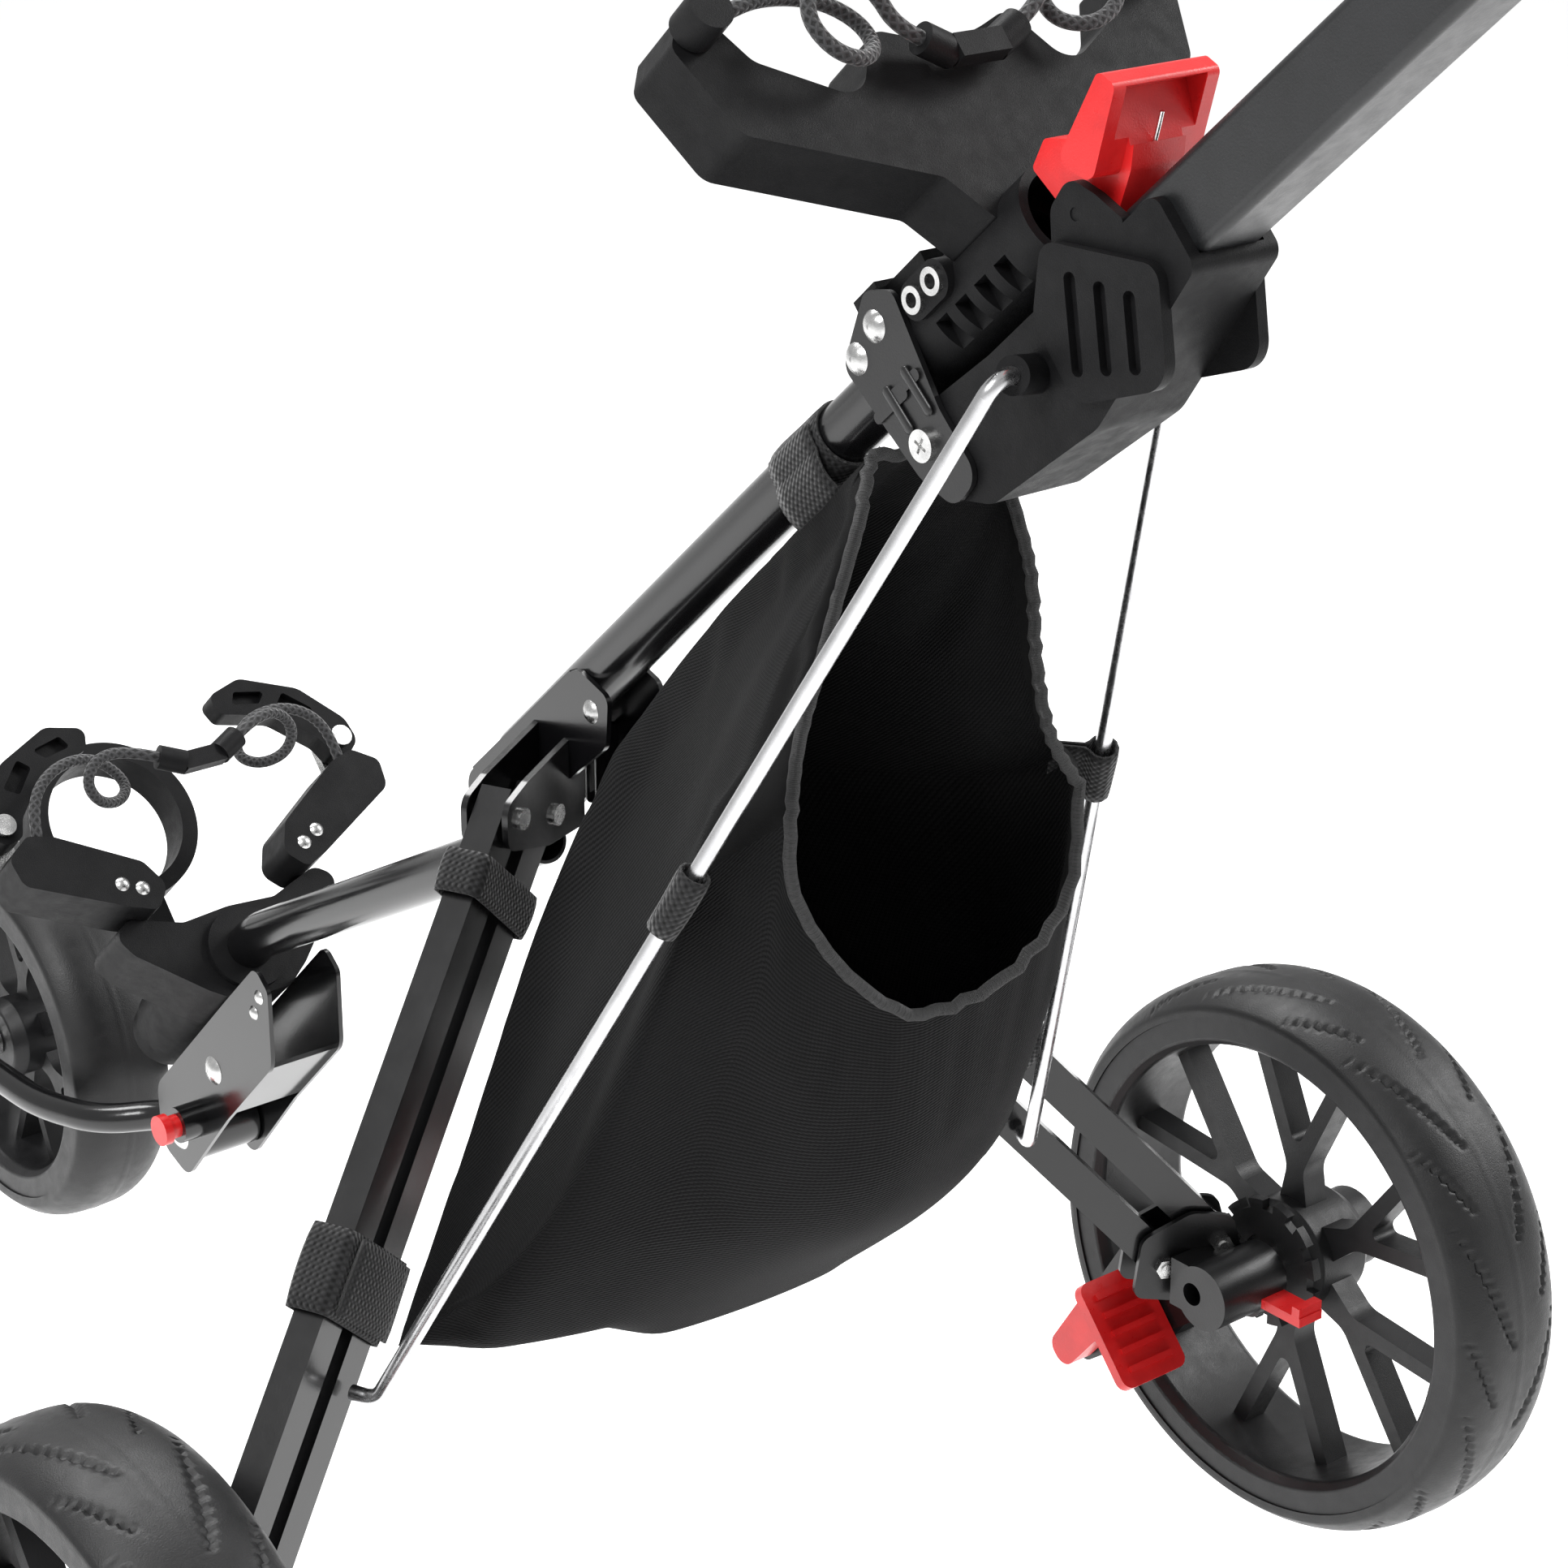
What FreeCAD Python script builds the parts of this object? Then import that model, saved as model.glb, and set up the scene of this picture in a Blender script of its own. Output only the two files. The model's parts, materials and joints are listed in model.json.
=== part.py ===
"""Three-wheel push cart for a golf bag, standing unfolded and ready for a bag.

Millimetres. +Z is up, +Y points to the front wheel and +X to the right of somebody pushing it.
The origin is on the ground, in the middle of the cart's length and width.
"""
import FreeCAD, Part
import math
import os
import Sketcher

V = FreeCAD.Vector
doc = FreeCAD.newDocument("push_cart")

# ---------------------------------------------------------------- driving dimensions
SIZES = {
    "rear_wheel_radius": 146, "rear_tyre_width": 68, "half_track": 340,
    "front_wheel_radius": 112, "front_tyre_width": 60, "wheelbase": 705,
    "axle_back": 154.75, "main_tube_dia": 26, "tube_wall": 1.6, "front_arm_dia": 25,
    "sleeve_dia": 44, "socket_dia": 46, "plate_gauge": 2.5, "handle_square": 32,
    "handle_length": 330, "grip_dia": 34, "main_tube_length": 458, "leg_depth": 18,
    "leg_breadth": 15, "leg_wall": 1.5, "rod_dia": 7, "fork_tube_dia": 17,
    "cradle_depth": 31, "bracket_depth": 34, "bungee_dia": 6, "pin_dia": 6,
    "rear_axle_dia": 12, "front_axle_dia": 8,
    "running_gap": 0.05, "ring_radius": 48, "ring_width": 26,
}
sheet = doc.addObject("Spreadsheet::Sheet", "sizes")
for row, (alias, value) in enumerate(SIZES.items(), start=1):
    sheet.set("A%d" % row, alias)
    sheet.set("B%d" % row, str(value))
    sheet.setAlias("B%d" % row, alias)
doc.recompute()


def size(alias):
    """The sheet's value of one driving dimension."""
    return float(sheet.get(alias))


NODES = []
GAP = size("running_gap")


# ---------------------------------------------------------------- placing things
def at(x, y, z):
    """A point given from the ground under the middle of the rear axle."""
    return V(x, y - size("axle_back"), z)


def frame(origin, z_dir, x_dir):
    """A placement whose Z and X axes point along the two directions."""
    z_dir = V(z_dir).normalize()
    y_dir = z_dir.cross(V(x_dir)).normalize()
    return FreeCAD.Placement(origin, FreeCAD.Rotation(y_dir.cross(z_dir), y_dir, z_dir))


X, Y, Z = V(1, 0, 0), V(0, 1, 0), V(0, 0, 1)
SLOPE = math.radians(41.8)
DOWN_TUBE = V(0, math.cos(SLOPE), -math.sin(SLOPE))
OFF_TUBE = V(0, math.sin(SLOPE), math.cos(SLOPE))
TUBE_TOP = at(0, -150, 748)
SIDE_VIEW = FreeCAD.Placement(V(0, 0, 0), FreeCAD.Rotation(Y, Z, X))


def tube_frame(origin, down):
    """Profile frame square to the sloping tube: x across, y off the tube, depth down it."""
    return frame(origin + DOWN_TUBE * down, DOWN_TUBE * -1, X)


def along_tube(down, off, across=0.0):
    """A point given down the main tube from its top, off its axis and across the cart."""
    return TUBE_TOP + DOWN_TUBE * down + OFF_TUBE * off + X * across


# ---------------------------------------------------------------- shape helpers
def bind(obj, **formulas):
    """Bind properties of an object to formulas over the sheet's names."""
    for name, formula in formulas.items():
        obj.setExpression(name, formula)
    return obj


def node(obj, label):
    """Name an object as one kept piece of the cart."""
    obj.Label = label
    NODES.append(obj)
    return obj


def drum(name, placement, radius, height):
    """A cylinder whose radius and height are formulas."""
    obj = bind(doc.addObject("Part::Cylinder", name), Radius=radius, Height=height)
    obj.Placement = placement
    return obj


def block(name, placement, length, width, height):
    """A box centred on its placement in X and Y and standing along Z."""
    obj = bind(doc.addObject("Part::Box", name), Length=length, Width=width, Height=height)
    half = V(float(obj.evalExpression(length)) / 2, float(obj.evalExpression(width)) / 2, 0)
    obj.Placement = placement.multiply(FreeCAD.Placement(half * -1, FreeCAD.Rotation()))
    return obj


def fused(name, *parts):
    """One solid made of several."""
    obj = doc.addObject("Part::MultiFuse", name)
    obj.Shapes = list(parts)
    obj.Refine = True
    return obj


def group(name, *parts):
    """Separate solids that share a node."""
    obj = doc.addObject("Part::Compound", name)
    obj.Links = list(parts)
    return obj


def cut(name, base, *tools):
    """A solid with one or more tools taken away."""
    tool = tools[0] if len(tools) == 1 else fused(name + "_tools", *tools)
    obj = doc.addObject("Part::Cut", name)
    obj.Base = base
    obj.Tool = tool
    return obj


def free_shape(name, shape):
    """A piece whose shape is worked out directly."""
    obj = doc.addObject("Part::Feature", name)
    obj.Shape = shape
    return obj


def outline(points, radii):
    """Edges of a closed outline whose corners are rounded by the given radii."""
    count = len(points)
    if not isinstance(radii, (list, tuple)):
        radii = [radii] * count
    starts, ends, arcs = [], [], []
    for i, point in enumerate(points):
        before = (points[i - 1] - point).normalize()
        after = (points[(i + 1) % count] - point).normalize()
        half = math.acos(max(-1, min(1, before.dot(after)))) / 2
        if radii[i] == 0:
            starts.append(point)
            ends.append(point)
            arcs.append(None)
            continue
        reach = radii[i] / math.tan(half)
        middle = point + (before + after).normalize() * (radii[i] / math.sin(half) - radii[i])
        starts.append(point + before * reach)
        ends.append(point + after * reach)
        arcs.append(Part.Arc(starts[-1], middle, ends[-1]))
    edges = []
    for i in range(count):
        if arcs[i]:
            edges.append(arcs[i])
        edges.append(Part.LineSegment(ends[i], starts[(i + 1) % count]))
    return edges


def plane_of(body, role):
    """One of a body's own origin planes or axes."""
    return next(f for f in body.Origin.OriginFeatures if f.Role == role)


def sketch_in(body, name, role, edges):
    """A sketch on one of the body's own planes."""
    sketch = body.newObject("Sketcher::SketchObject", name)
    sketch.AttachmentSupport = [(plane_of(body, role), "")]
    sketch.MapMode = "FlatFace"
    sketch.addGeometry(edges, False)
    return sketch


def plate(name, placement, corners, thickness, radii=0, holes=(), centred=False):
    """A padded outline with round holes, drawn in the placement's XY plane."""
    body = doc.addObject("PartDesign::Body", name)
    edges = outline([V(x, y, 0) for x, y in corners], radii)
    for x, y, radius in holes:
        edges.append(Part.Circle(V(x, y, 0), Z, radius))
    sketch = sketch_in(body, name + "_sketch", "XY_Plane", edges)
    pad = body.newObject("PartDesign::Pad", name + "_pad")
    pad.Profile = sketch
    bind(pad, Length=thickness)
    pad.Midplane = centred
    body.Placement = placement
    return body


def turned(name, placement, corners, radii=0):
    """A revolved outline: corners are (along the axle, out from it); the axle is the body's X."""
    body = doc.addObject("PartDesign::Body", name)
    edges = outline([V(x, y, 0) for x, y in corners], radii)
    sketch = sketch_in(body, name + "_sketch", "XY_Plane", edges)
    turn = body.newObject("PartDesign::Revolution", name + "_turn")
    turn.Profile = sketch
    turn.ReferenceAxis = (sketch, ["H_Axis"])
    turn.Angle = 360
    body.Placement = placement
    return body


def route_wire(points, radius=None):
    """Straight runs joined by tangent arcs, each as large as its two runs allow."""
    edges, start = [], points[0]
    for before, corner, after in zip(points, points[1:], points[2:]):
        first, second = before - corner, after - corner
        turn = math.pi - first.getAngle(second)
        reach = 0.45 * min(first.Length, second.Length)
        bend = reach / math.tan(turn / 2)
        if radius and bend > radius:
            bend = radius
            reach = bend * math.tan(turn / 2)
        first.normalize()
        second.normalize()
        enter, leave = corner + first * reach, corner + second * reach
        dip = bend / math.cos(turn / 2) - bend
        middle = corner + (first + second).normalize() * dip
        edges.append(Part.LineSegment(start, enter).toShape())
        edges.append(Part.Arc(enter, middle, leave).toShape())
        start = leave
    edges.append(Part.LineSegment(start, points[-1]).toShape())
    return Part.Wire(edges)


def pipe(points, diameter, radius=None):
    """A round bar that follows a route."""
    wire = route_wire(points, radius)
    section = Part.Wire(Part.Circle(points[0], points[1] - points[0], diameter / 2).toShape())
    return wire.makePipeShell([section], True, False)


def mirrored(shape):
    """The same shape on the other side of the cart."""
    return shape.mirror(V(0, 0, 0), X)


def sides():
    """Both sides of the cart: the name and the sign of X."""
    return (("left", -1), ("right", 1))


def side_point(sign, x, y, z):
    """A point on one side of the cart."""
    return at(sign * x, y, z)


# ---------------------------------------------------------------- frame tubes
main_outer = drum("main_outer", frame(TUBE_TOP, DOWN_TUBE, X), "sizes.main_tube_dia / 2",
                  "sizes.main_tube_length")
main_bore = drum("main_bore", frame(TUBE_TOP, DOWN_TUBE, X),
                 "sizes.main_tube_dia / 2 - sizes.tube_wall",
                 "sizes.main_tube_length")
node(cut("main_tube_cut", main_outer, main_bore), "main_tube")

ARM_BEND = at(0, 440, 264)
arm_route = [at(0, 178, 404), ARM_BEND, ARM_BEND + DOWN_TUBE * 128]
arm_dia = size("front_arm_dia")
arm_solid = pipe(arm_route, arm_dia, 60)
arm_hole = pipe(arm_route, arm_dia - 2 * size("tube_wall"), 60)
node(free_shape("front_arm_shape", arm_solid.cut(arm_hole)), "front_arm")

# Sleeve that closes the tube's top and carries the upper cradle.
SLEEVE_TOP = -20
sleeve_place = frame(TUBE_TOP + DOWN_TUBE * SLEEVE_TOP, DOWN_TUBE, X)
sleeve_outer = drum("sleeve_outer", sleeve_place, "sizes.sleeve_dia / 2", "112")
sleeve_mouth = drum("sleeve_mouth", sleeve_place, "sizes.sleeve_dia / 2 - 4", "20")
slots = []
for side_name, sign in sides():
    for index, down in enumerate((2, 16, 30, 44)):
        place = frame(TUBE_TOP + DOWN_TUBE * down + X * (sign * 25) - OFF_TUBE * 10,
                      X * -sign, DOWN_TUBE)
        slots.append(block("sleeve_slot_%s_%d" % (side_name, index), place, "8", "13", "10"))

pad_left = plate("sleeve_pad_left", frame(along_tube(42, 8, -19), X * -1, DOWN_TUBE),
                 [(-15, -8), (15, -8), (15, 8), (-15, 8)], "6", 7.5)
pad_right = plate("sleeve_pad_right", frame(along_tube(42, 8, 19), X, DOWN_TUBE),
                  [(-15, -8), (15, -8), (15, 8), (-15, 8)], "6", 7.5)
tongue = block("plate_tongue", tube_frame(at(0, -80, 699), 0), "2 * 21.9", "34", "16")
tongue_neck = block("plate_tongue_neck", tube_frame(at(0, -92, 709), 0), "34", "30", "26")
sleeve_whole = fused("sleeve_whole", sleeve_outer, pad_left, pad_right, tongue, tongue_neck)
tube_bore = drum("tube_bore", frame(TUBE_TOP, DOWN_TUBE, X), "sizes.main_tube_dia / 2", "200")
node(cut("sleeve_cut", sleeve_whole, tube_bore, sleeve_mouth, *slots), "top_sleeve")

eyelets = []
for side_name, sign in sides():
    for down in (35, 49):
        place = frame(along_tube(down, 8, sign * 25), X * sign, DOWN_TUBE)
        outer = drum("eyelet_%s_%d" % (side_name, down), place, "5.5", "2")
        hole = drum("eyelet_hole_%s_%d" % (side_name, down), place, "3", "2")
        eyelets.append(cut("eyelet_cut_%s_%d" % (side_name, down), outer, hole))

# ---------------------------------------------------------------- upper cradle
CRADLE_DOWN = 26
cradle_side = [(20, 10), (34, 30), (112, 60), (124, 98), (114, 112), (103, 108), (92, 88),
               (52, 66), (34, 94), (0, 82)]
cradle_corners = cradle_side + [(-x, y) for x, y in cradle_side[:-1]][::-1]
cradle_radii = [2, 6, 9, 6, 5, 4, 10, 12, 8, 60, 8, 12, 10, 4, 5, 6, 9, 6, 2]
cradle_place = tube_frame(TUBE_TOP, CRADLE_DOWN)
cradle_body = plate("cradle_body", cradle_place, cradle_corners, "sizes.cradle_depth", cradle_radii)
cradle_core = drum("cradle_core", frame(TUBE_TOP + DOWN_TUBE * -60, DOWN_TUBE, X),
                   "sizes.sleeve_dia / 2", "120")
hollows = []
for side_name, sign in sides():
    corners = [(sign * x, y) for x, y in ((56, 46), (106, 66), (112, 90), (107, 96), (97, 80),
                                          (56, 58))]
    place = cradle_place.multiply(FreeCAD.Placement(V(0, 0, -10), FreeCAD.Rotation()))
    hollows.append(plate("cradle_hollow_" + side_name, place, corners, "35", 4))
node(cut("cradle_cut", cradle_body, cradle_core, *hollows), "upper_cradle")

# Rollers at the tips of the cradle arms, where the cords are tied.
rollers = []
for side_name, sign in sides():
    place = tube_frame(TUBE_TOP + X * (sign * 113) + OFF_TUBE * 103, CRADLE_DOWN + 2)
    stem = drum("cradle_stem_" + side_name, place, "4", "36")
    collar = drum("cradle_collar_" + side_name, place.multiply(
        FreeCAD.Placement(V(0, 0, 34), FreeCAD.Rotation())), "9", "16")
    rollers.append(fused("cradle_roller_" + side_name, stem, collar))
node(group("cradle_rollers_group", *rollers), "cradle_rollers")

# ---------------------------------------------------------------- handle hinge plates
HINGE = at(0, -115, 666)
GAUGE = "sizes.plate_gauge"
PLATE_X = 22


def in_side_view(y, z):
    """Coordinates in the side-view profile plane of a point given from the rear axle."""
    return (y - size("axle_back"), z)


def side_plate(name, x, corners, thickness, radii, holes=()):
    """A plate lying in a plane of constant X, its outline given as (y, z) points."""
    place = FreeCAD.Placement(V(x, 0, 0), SIDE_VIEW.Rotation)
    spots = [in_side_view(y, z) for y, z in corners]
    bores = [in_side_view(y, z) + (radius,) for y, z, radius in holes]
    return plate(name, place, spots, thickness, radii, bores)


PLATE_CORNERS = [(-66, 686), (-78, 719), (-94, 722), (-122, 682), (-145, 660), (-132, 645),
                 (-112, 652)]
PLATE_RADII = [7, 7, 6, 30, 9, 9, 20]
RIVETS = [(-84, 706), (-74, 691)]
for side_name, sign in sides():
    start = PLATE_X if sign > 0 else -PLATE_X - size("plate_gauge")
    body = side_plate("side_plate_%s_body" % side_name, start, PLATE_CORNERS, GAUGE, PLATE_RADII,
                      [(-115, 666, 3)])
    ribs = []
    for index, shift in enumerate((0, 11)):
        place = frame(at(sign * (PLATE_X + 2), -102 + shift * 0.6, 686 - shift * 0.8),
                      X * sign, DOWN_TUBE * -1)
        ribs.append(plate("side_rib_%s_%d" % (side_name, index), place,
                          [(-12, -2.4), (12, -2.4), (12, 2.4), (-12, 2.4)], "1.6", 2.2))
    node(fused("side_plate_%s_fused" % side_name, body, *ribs), "side_plate_" + side_name)


def dome(name, centre, direction, radius, height):
    """A domed rivet or screw head."""
    ball = (height ** 2 + radius ** 2) / (2 * height)
    cap = Part.makeSphere(ball, centre - direction * (ball - height), direction,
                          math.degrees(math.asin(1 - height / ball)), 90, 360)
    return free_shape(name, cap)


plate_rivets = []
for side_name, sign in sides():
    for index, (y, z) in enumerate(RIVETS):
        spot = at(sign * (PLATE_X + size("plate_gauge")), y, z)
        plate_rivets.append(dome("plate_rivet_%s_%d" % (side_name, index), spot, X * sign, 6.5, 3))

pivots = []
for side_name, sign in sides():
    head_at = at(sign * (PLATE_X + size("plate_gauge")), -115, 666)
    shank = drum("pivot_shank_" + side_name, frame(at(sign * 10, -115, 666), X * sign, Y),
                 "sizes.pin_dia / 2", "14.5")
    head = drum("pivot_head_" + side_name, frame(head_at, X * sign, Y), "6.5", "3")
    cross = [block("pivot_cross_%s_%d" % (side_name, turn), frame(
        head_at + X * (sign * 1.6), X * sign, V(0, math.cos(turn), math.sin(turn))),
        "7", "1.3", "2") for turn in (0.4, 0.4 + math.pi / 2)]
    pivots.append(cut("pivot_screw_" + side_name, fused("pivot_" + side_name, shank, head),
                      *cross))
node(group("pivot_screws_group", *pivots), "handle_pivot_screws")

# ---------------------------------------------------------------- knee bracket and leg lugs
LEG_OUT = V(0.9128, -0.4084, 0)
LEG_DOWN = V(0.614, -0.275, -0.74).normalize()
KNEE_LOWER = (32, 140.3, 438.1)
WHEEL_LOWER = (270, 34, 151)
LINK_OUT, LINK_UP = 30.3, 8.9
LUG_GAUGE = 3
HALF_CLEVIS = 9.0


def leg_frame(sign, spot, off_plane=0):
    """Frame in a leg's upright plane: x outwards, y up, z square to the plane."""
    out = V(sign * LEG_OUT.x, LEG_OUT.y, 0)
    normal = out.cross(Z)
    base = at(sign * spot[0], spot[1], spot[2])
    return frame(base + normal * off_plane, normal, out)


def clevis(name, sign, spot, corners, radii, holes):
    """Two parallel plates, one each side of a leg's tubes."""
    cheeks = []
    for label, start in (("a", HALF_CLEVIS), ("b", -HALF_CLEVIS - LUG_GAUGE)):
        cheeks.append(plate("%s_%s" % (name, label), leg_frame(sign, spot, start), corners,
                            str(LUG_GAUGE), radii, holes))
    return cheeks


KNEE_CHEEK = [(104, 498), (128, 506), (216, 428), (213, 394), (195, 392), (150, 438), (106, 474)]
KNEE_X = 13.2
knee_parts = []
for side_name, sign in sides():
    start = KNEE_X if sign > 0 else -KNEE_X - size("plate_gauge")
    knee_parts.append(side_plate("knee_cheek_" + side_name, start, KNEE_CHEEK, GAUGE,
                                 [6, 8, 12, 8, 8, 20, 10]))
    knee_parts += clevis("knee_lug_" + side_name, sign, KNEE_LOWER,
                         [(-26, -14), (6, -13), (42, -3), (42, 18), (24, 24), (-26, 34)],
                         [2, 8, 8, 8, 10, 2], [(0, 0, 3), (LINK_OUT, LINK_UP, 3)])
roof_low, roof_high = at(0, 214, 431), at(0, 130, 505.4)
roof_run = roof_high - roof_low
roof = block("knee_roof", frame(roof_low + roof_run * 0.5, roof_run.cross(X).normalize() * -1, X),
             "2 * 15.7", "106", "2")
knee_parts.append(roof)
knee_tube_room = drum("knee_tube_room", frame(TUBE_TOP, DOWN_TUBE, X), "sizes.main_tube_dia / 2",
                      "459")
knee_arm_room = free_shape("knee_arm_room", pipe(arm_route, arm_dia, 60))
node(cut("knee_cut", fused("knee_fused", *knee_parts), knee_tube_room, knee_arm_room),
     "knee_bracket")

knee_rivets = []
for side_name, sign in sides():
    for index, (y, z) in enumerate(((207, 412), (196, 424), (117, 488))):
        spot = at(sign * (KNEE_X + size("plate_gauge")), y, z)
        knee_rivets.append(dome("knee_rivet_%s_%d" % (side_name, index), spot, X * sign, 5.5, 2.6))

leg_pins = []
for side_name, sign in sides():
    for index, (out, up) in enumerate(((0, 0), (LINK_OUT, LINK_UP))):
        base = leg_frame(sign, KNEE_LOWER, -HALF_CLEVIS - LUG_GAUGE - 2)
        place = base.multiply(FreeCAD.Placement(V(out, up, 0), FreeCAD.Rotation()))
        shank = drum("leg_pin_%s_%d" % (side_name, index), place, "sizes.pin_dia / 2", "28")
        heads = [drum("leg_pin_head_%s_%d_%d" % (side_name, index, end), place.multiply(
            FreeCAD.Placement(V(0, 0, end), FreeCAD.Rotation())), "5", "2") for end in (0, 26)]
        leg_pins.append(fused("leg_pin_whole_%s_%d" % (side_name, index), shank, *heads))
node(group("leg_pins_group", *leg_pins), "leg_pivot_pins")


# ---------------------------------------------------------------- legs
def leg_tube(label, sign, start, finish, end_room):
    """A rectangular tube between two pivots, with a bore at each."""
    first, last = side_point(sign, *start), side_point(sign, *finish)
    run = last - first
    along = V(run).normalize()
    out = V(sign * LEG_OUT.x, LEG_OUT.y, 0)
    across = out.cross(Z)
    place = frame(first - along * end_room, along, across)
    length = str(round(run.Length + 2 * end_room, 3))
    outer = block(label + "_outer", place, "sizes.leg_breadth", "sizes.leg_depth", length)
    inner = block(label + "_inner", place, "sizes.leg_breadth - 2 * sizes.leg_wall",
                  "sizes.leg_depth - 2 * sizes.leg_wall", length)
    bores = [drum("%s_bore_%d" % (label, index), frame(spot - across * 20, across, along),
                  "sizes.pin_dia / 2 + sizes.running_gap", "40")
             for index, spot in enumerate((first, last))]
    return cut(label + "_cut", outer, inner, *bores)


def shifted(spot, out, up):
    """A right-side point moved outwards and up in the leg's plane."""
    return (spot[0] + LEG_OUT.x * out, spot[1] + LEG_OUT.y * out, spot[2] + up)


for side_name, sign in sides():
    node(leg_tube("lower_%s" % side_name, sign, KNEE_LOWER, WHEEL_LOWER, 9.5),
         "leg_lower_tube_" + side_name)
    node(leg_tube("upper_%s" % side_name, sign, shifted(KNEE_LOWER, LINK_OUT, LINK_UP),
                  shifted(WHEEL_LOWER, LINK_OUT, LINK_UP), 9.5), "leg_upper_tube_" + side_name)

# Anchor bolt that holds each rod to its leg.
ROD_FOOT_DOWN = 272
leg_run = V(*WHEEL_LOWER) - V(*KNEE_LOWER)
ROD_FOOT = tuple(V(*KNEE_LOWER) + leg_run.normalize() * ROD_FOOT_DOWN)
for side_name, sign in sides():
    face = size("leg_breadth") / 2
    normal = V(sign * LEG_OUT.x, LEG_OUT.y, 0).cross(Z)
    if normal.y < 0:
        normal = normal * -1
    spot = side_point(sign, *ROD_FOOT) + normal * face
    washer = drum("anchor_washer_" + side_name, frame(spot, normal, Z), "7", "1.4")
    nut_place = frame(spot + normal * 1.4, normal, Z)
    hexagon = plate("anchor_nut_" + side_name, nut_place,
                    [(5.6 * math.cos(k * math.pi / 3), 5.6 * math.sin(k * math.pi / 3))
                     for k in range(6)], "5")
    stub = drum("anchor_stub_" + side_name, frame(spot + normal * 6, normal, Z), "3", "6")
    node(fused("anchor_" + side_name, washer, hexagon, stub), "rod_anchor_" + side_name)

# ---------------------------------------------------------------- axle brackets
AXLE_DIA = "sizes.rear_axle_dia"
for side_name, sign in sides():
    cheeks = clevis("axle_clevis_" + side_name, sign, WHEEL_LOWER,
                    [(-16, -16), (-12, 16), (14, 28), (36, 24), (41, 6), (36, -14), (4, -20)],
                    [6, 8, 12, 8, 8, 10, 10], [(0, 0, 3), (LINK_OUT, LINK_UP, 3)])
    boss = drum("axle_boss_" + side_name, frame(side_point(sign, 262, -6, 146), X * sign, Y),
                "17", "44")
    web = block("axle_web_" + side_name, frame(side_point(sign, 264, 2, 146), X * sign, Y),
                "30", "26", "34")
    arm = side_plate("axle_arm_" + side_name, 292 if sign > 0 else -296,
                     [(-14, 158), (34, 158), (76, 136), (120, 64), (106, 48), (64, 80), (8, 122),
                      (-20, 130)], "4", [8, 14, 12, 7, 7, 20, 14, 8],
                     [(81, 102, 3), (107, 60, 2.6)] if sign > 0 else [])
    room = [block("axle_room_%s_%d" % (side_name, index), leg_frame(
        sign, shifted(WHEEL_LOWER, out - 4, up + 4)), "2 * 23", "2 * 23", "2 * 9.0") for
        index, (out, up) in enumerate(((0, 0), (LINK_OUT, LINK_UP)))]
    for piece in room:
        piece.Placement = piece.Placement.multiply(
            FreeCAD.Placement(V(0, 0, -9.0), FreeCAD.Rotation()))
    socket = drum("axle_socket_" + side_name, frame(side_point(sign, 250, 0, 146), X * sign, Y),
                  AXLE_DIA + " / 2", "60")
    bolts = []
    for index, (out, up) in enumerate(((0, 0), (LINK_OUT, LINK_UP))):
        base = leg_frame(sign, WHEEL_LOWER, -HALF_CLEVIS - LUG_GAUGE - 4)
        place = base.multiply(FreeCAD.Placement(V(out, up, 0), FreeCAD.Rotation()))
        shank = drum("axle_bolt_%s_%d" % (side_name, index), place, "sizes.pin_dia / 2", "33")
        ends = []
        for end in (0, 28):
            hex_place = place.multiply(FreeCAD.Placement(V(0, 0, end), FreeCAD.Rotation()))
            ends.append(plate("axle_bolt_head_%s_%d_%d" % (side_name, index, end), hex_place,
                              [(5.5 * math.cos(k * math.pi / 3), 5.5 * math.sin(k * math.pi / 3))
                               for k in range(6)], "4"))
        bolts.append(fused("axle_bolt_whole_%s_%d" % (side_name, index), shank, *ends))
    whole = fused("axle_bracket_whole_" + side_name, *cheeks, boss, web, arm)
    node(cut("axle_bracket_cut_" + side_name, whole, *room, socket, *bolts),
         "axle_bracket_" + side_name)

    shaft = drum("axle_shaft_" + side_name, frame(side_point(sign, 290, 0, 146), X * sign, Y),
                 AXLE_DIA + " / 2", "80")
    tip = drum("axle_tip_" + side_name, frame(side_point(sign, 370, 0, 146), X * sign, Y), "9",
               "4")
    axle = fused("axle_whole_" + side_name, shaft, tip)

    if sign > 0:
        brake_shank = drum("brake_bolt_shank", frame(at(272, 81, 102), X, Y),
                           "sizes.pin_dia / 2", "30")
        brake_heads = [plate("brake_bolt_head_%d" % start, frame(at(start, 81, 102), X, Y),
                             [(5.5 * math.cos(k * math.pi / 3), 5.5 * math.sin(k * math.pi / 3))
                              for k in range(6)], "4") for start in (271, 298)]
        bolts.append(fused("brake_bolt_whole", brake_shank, *brake_heads))
    node(group("axle_and_bolts_group_" + side_name, axle, *bolts), "axle_and_bolts_" + side_name)

    tab = block("tab_plate_" + side_name, frame(side_point(sign, 296, -36, 139), Z, X),
                "16", "26", "5")
    hook = block("tab_grip_" + side_name, frame(side_point(sign, 296, -46, 144), Z, X),
                 "16", "5", "5")
    node(fused("tab_whole_" + side_name, tab, hook), "wheel_release_" + side_name)

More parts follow.
